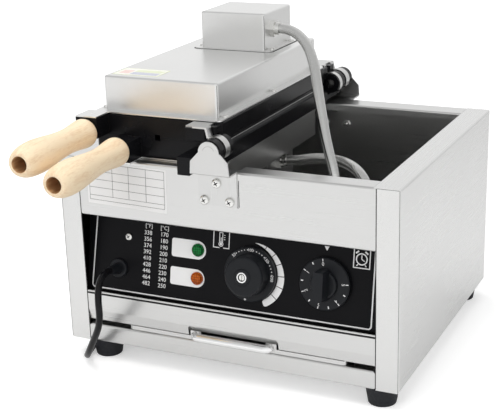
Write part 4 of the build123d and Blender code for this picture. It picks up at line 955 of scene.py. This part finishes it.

# Ledge below the panel: a black strip painted on the ledge's top for the shade and the black
# panel's reflection that lie there, a bright line painted along the ledge's fold as its
# highlight, and a pale matt plate that paints light on the finger recess above the tray.
# Painted shade and reflection: the matt black strip laid on the ledge's top.
shade_on_ledge_black, tree, surface = finish("painted_ledge_shade", (0.004, 0.004, 0.004), 0.7, gloss=0.0)
spread(tree, grain(tree, (1, 1, 1), 300, 2), 0.6, 0.8, surface.inputs["Roughness"])
ledge_top = 0.0774
ledge_shade_marks = Print(Vector((0, front, ledge_top + off_sheet)), backward, upward)
ledge_shade_marks.area([(-161, 1.2), (161, 1.2), (161, 7.9), (-161, 7.9)])
ledge_shade_marks.done("ledge_top_shade", "case", shade_on_ledge_black)
# Painted highlight: a bright strip along the ledge's front fold.
fold_painted_highlight, tree, surface = finish("fold_painted_highlight", (0.90, 0.90, 0.89), 0.4)
spread(tree, grain(tree, (1, 1, 1), 300, 2), 0.35, 0.5, surface.inputs["Roughness"])
fold_drop = 0.00045
fold_centre = Vector((0, front + fold_drop, ledge_top - fold_drop))
fold = Print(fold_centre, Vector((0, 0.70711, 0.70711)), Vector((0, -0.70711, 0.70711)))
fold.bar(-161, 0, 161, 0, 1.6)
fold.done("ledge_fold_highlight", "case", fold_painted_highlight)
# Painted light: a pale, non-metal plate over the finger recess, lighter than the shade there.
recess_painted_light, tree, surface = finish("recess_painted_light", (0.88, 0.88, 0.87), 0.5)
spread(tree, grain(tree, (8, 1200, 1200), 1.0, 3), 0.4, 0.6, surface.inputs["Roughness"])
recess_up = Vector((0, -0.7415, 0.6709))
recess_out = Vector((0, -0.6709, -0.7415))
recess_centre = Vector((0.0085, front + 0.00645, ground + 0.03075)) + recess_out * 0.00003
recess = Print(recess_centre, recess_up, recess_out)
recess.area([(-50.2, -9.0), (50.2, -9.0), (50.2, 6.9), (-50.2, 6.9)])
recess.done("recess_face", "case", recess_painted_light)

# Painted highlight and pressed arcs: a grey line painted along the moulds' parting edge as the
# highlight it catches, and the pressed arc that stiffens each bracket's dome round the pin.
parting_highlight_and_arc, tree, surface = finish("parting_highlight_and_arc", (0.42, 0.42, 0.41), 0.4, 0.4)
spread(tree, grain(tree, (1, 40, 1), 60, 3), 0.3, 0.55, surface.inputs["Roughness"])
# Painted highlight: the grey line on the moulds' parting edge.
parting_height = 0.2485
mould_side = -0.0015
parting = Print(Vector((mould_side + off_sheet, 0, parting_height)), upward, Vector((1, 0, 0)))
parting.bar(-108, 0.5, 176, 0.5, 0.7)
parting.done("parting_edge", "upper_half", parting_highlight_and_arc)
dome_steps = 12
dome_radius = 6.4
for name, plate, outwards in (("front_arc", -0.12377, -1), ("rear_arc", 0.23727, 1)):
    arc = Print(Vector((0, plate, parting_height)), upward, Vector((0, outwards, 0)))
    for n in range(dome_steps):
        ends = [math.radians(20 + 140 * (n + k) / dome_steps) for k in (0, 1)]
        (x0, y0), (x1, y1) = [(dome_radius * math.cos(a), dome_radius * math.sin(a)) for a in ends]
        arc.bar(x0, y0, x1, y1, 0.45)
    arc.done(name, "case", parting_highlight_and_arc)

# Screw ends of the hinge brackets: three on each end of the case, through the sheet, each
# held by a plated nut inside.
nut_profile = [(2.2, 0), (4.5, 0), (4.5, 2.8), (4.1, 3.2), (2.2, 3.2)]
end_profile = [(0.4, 0), (2.05, 0), (2.05, 5.6), (1.6, 6.2), (0.4, 6.2)]
for end, wall, inwards in (("front", front + 0.0012, 1), ("rear", 0.2165, -1)):
    for number, (across, height) in enumerate(bracket_holes):
        for part, profile, faces in (("nut", nut_profile, 6), ("screw_end", end_profile, 12)):
            name = end + "_" + part + "_" + str(number)
            foot = Vector((across, wall, height))
            piece = turned(name, profile, foot, Vector((0, inwards, 0)), faces, len(profile))
            piece.data.polygons.foreach_set("use_smooth", [False] * len(piece.data.polygons))
            piece.data.materials.append(plated)
            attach(piece, "case")

# Label on the front band: plain white paper with a ruled table left blank, stuck on by
# hand a little out of true.
paper, tree, surface = finish("label_paper", (0.80, 0.80, 0.80), 0.5)
spread(tree, grain(tree, (1, 1, 1), 200, 3), 0.42, 0.58, surface.inputs["Roughness"])
rule_ink, tree, surface = finish("rule_ink", (0.05, 0.05, 0.055), 0.5)
spread(tree, grain(tree, (1, 1, 1), 200, 3), 0.45, 0.6, surface.inputs["Roughness"])
label_tilt = math.radians(-1.4)
label_up = Vector((-math.sin(label_tilt), 0, math.cos(label_tilt)))
label_centre = Vector((-0.1048, front - off_sheet, ground + 0.1785))
rule_width = 0.35
label = Print(label_centre, label_up, toward_front)
label.area(rounded(-46, -22.8, 46, 22.8, 0.8))
label.done("ruled_label", "case", paper)
rules = Print(label_centre + toward_front * (ink_height / 1000), label_up, toward_front)
for height in (20.6, 12.0, 3.4, -5.2, -13.8, -18.6):
    rules.bar(-43.6, height, 43.6, height, rule_width)
for across, foot in ((-43.6, -18.6), (-16.4, -13.8), (2.6, -13.8), (22.6, -13.8), (43.6, -18.6)):
    rules.bar(across, 20.6, across, foot, rule_width)
rules.done("label_rules", "case", rule_ink)

# Sticker on the cover: a small foil patch in plain bands of pale colour, pressed on near
# the cover's front left corner.
sticker_place = Vector((-0.1075, front + 0.0475, cover_top + off_sheet))
for name, box, height, colour in (
    ("sticker_edge", (-26, -15, 26, 15), 0.0, (0.68, 0.72, 0.50)),
    ("sticker_field", (-24.6, -13.6, 24.6, 13.6), 0.05, (0.76, 0.76, 0.70)),
    ("sticker_band", (-8, -11.5, 23, -1), 0.10, (0.45, 0.46, 0.54)),
    ("sticker_strip", (-8, 0, 23, 9.5), 0.10, (0.62, 0.66, 0.46)),
    ("sticker_spot", (-22, -8.5, -10.5, 6), 0.10, (0.72, 0.54, 0.50)),
):
    foil, tree, surface = finish(name, colour, 0.35)
    spread(tree, grain(tree, (1, 1, 1), 150, 3), 0.3, 0.45, surface.inputs["Roughness"])
    patch = Print(sticker_place + upward * (height / 1000), backward, upward)
    patch.area(rounded(*box, 0.8))
    patch.done(name, "upper_half", foil)
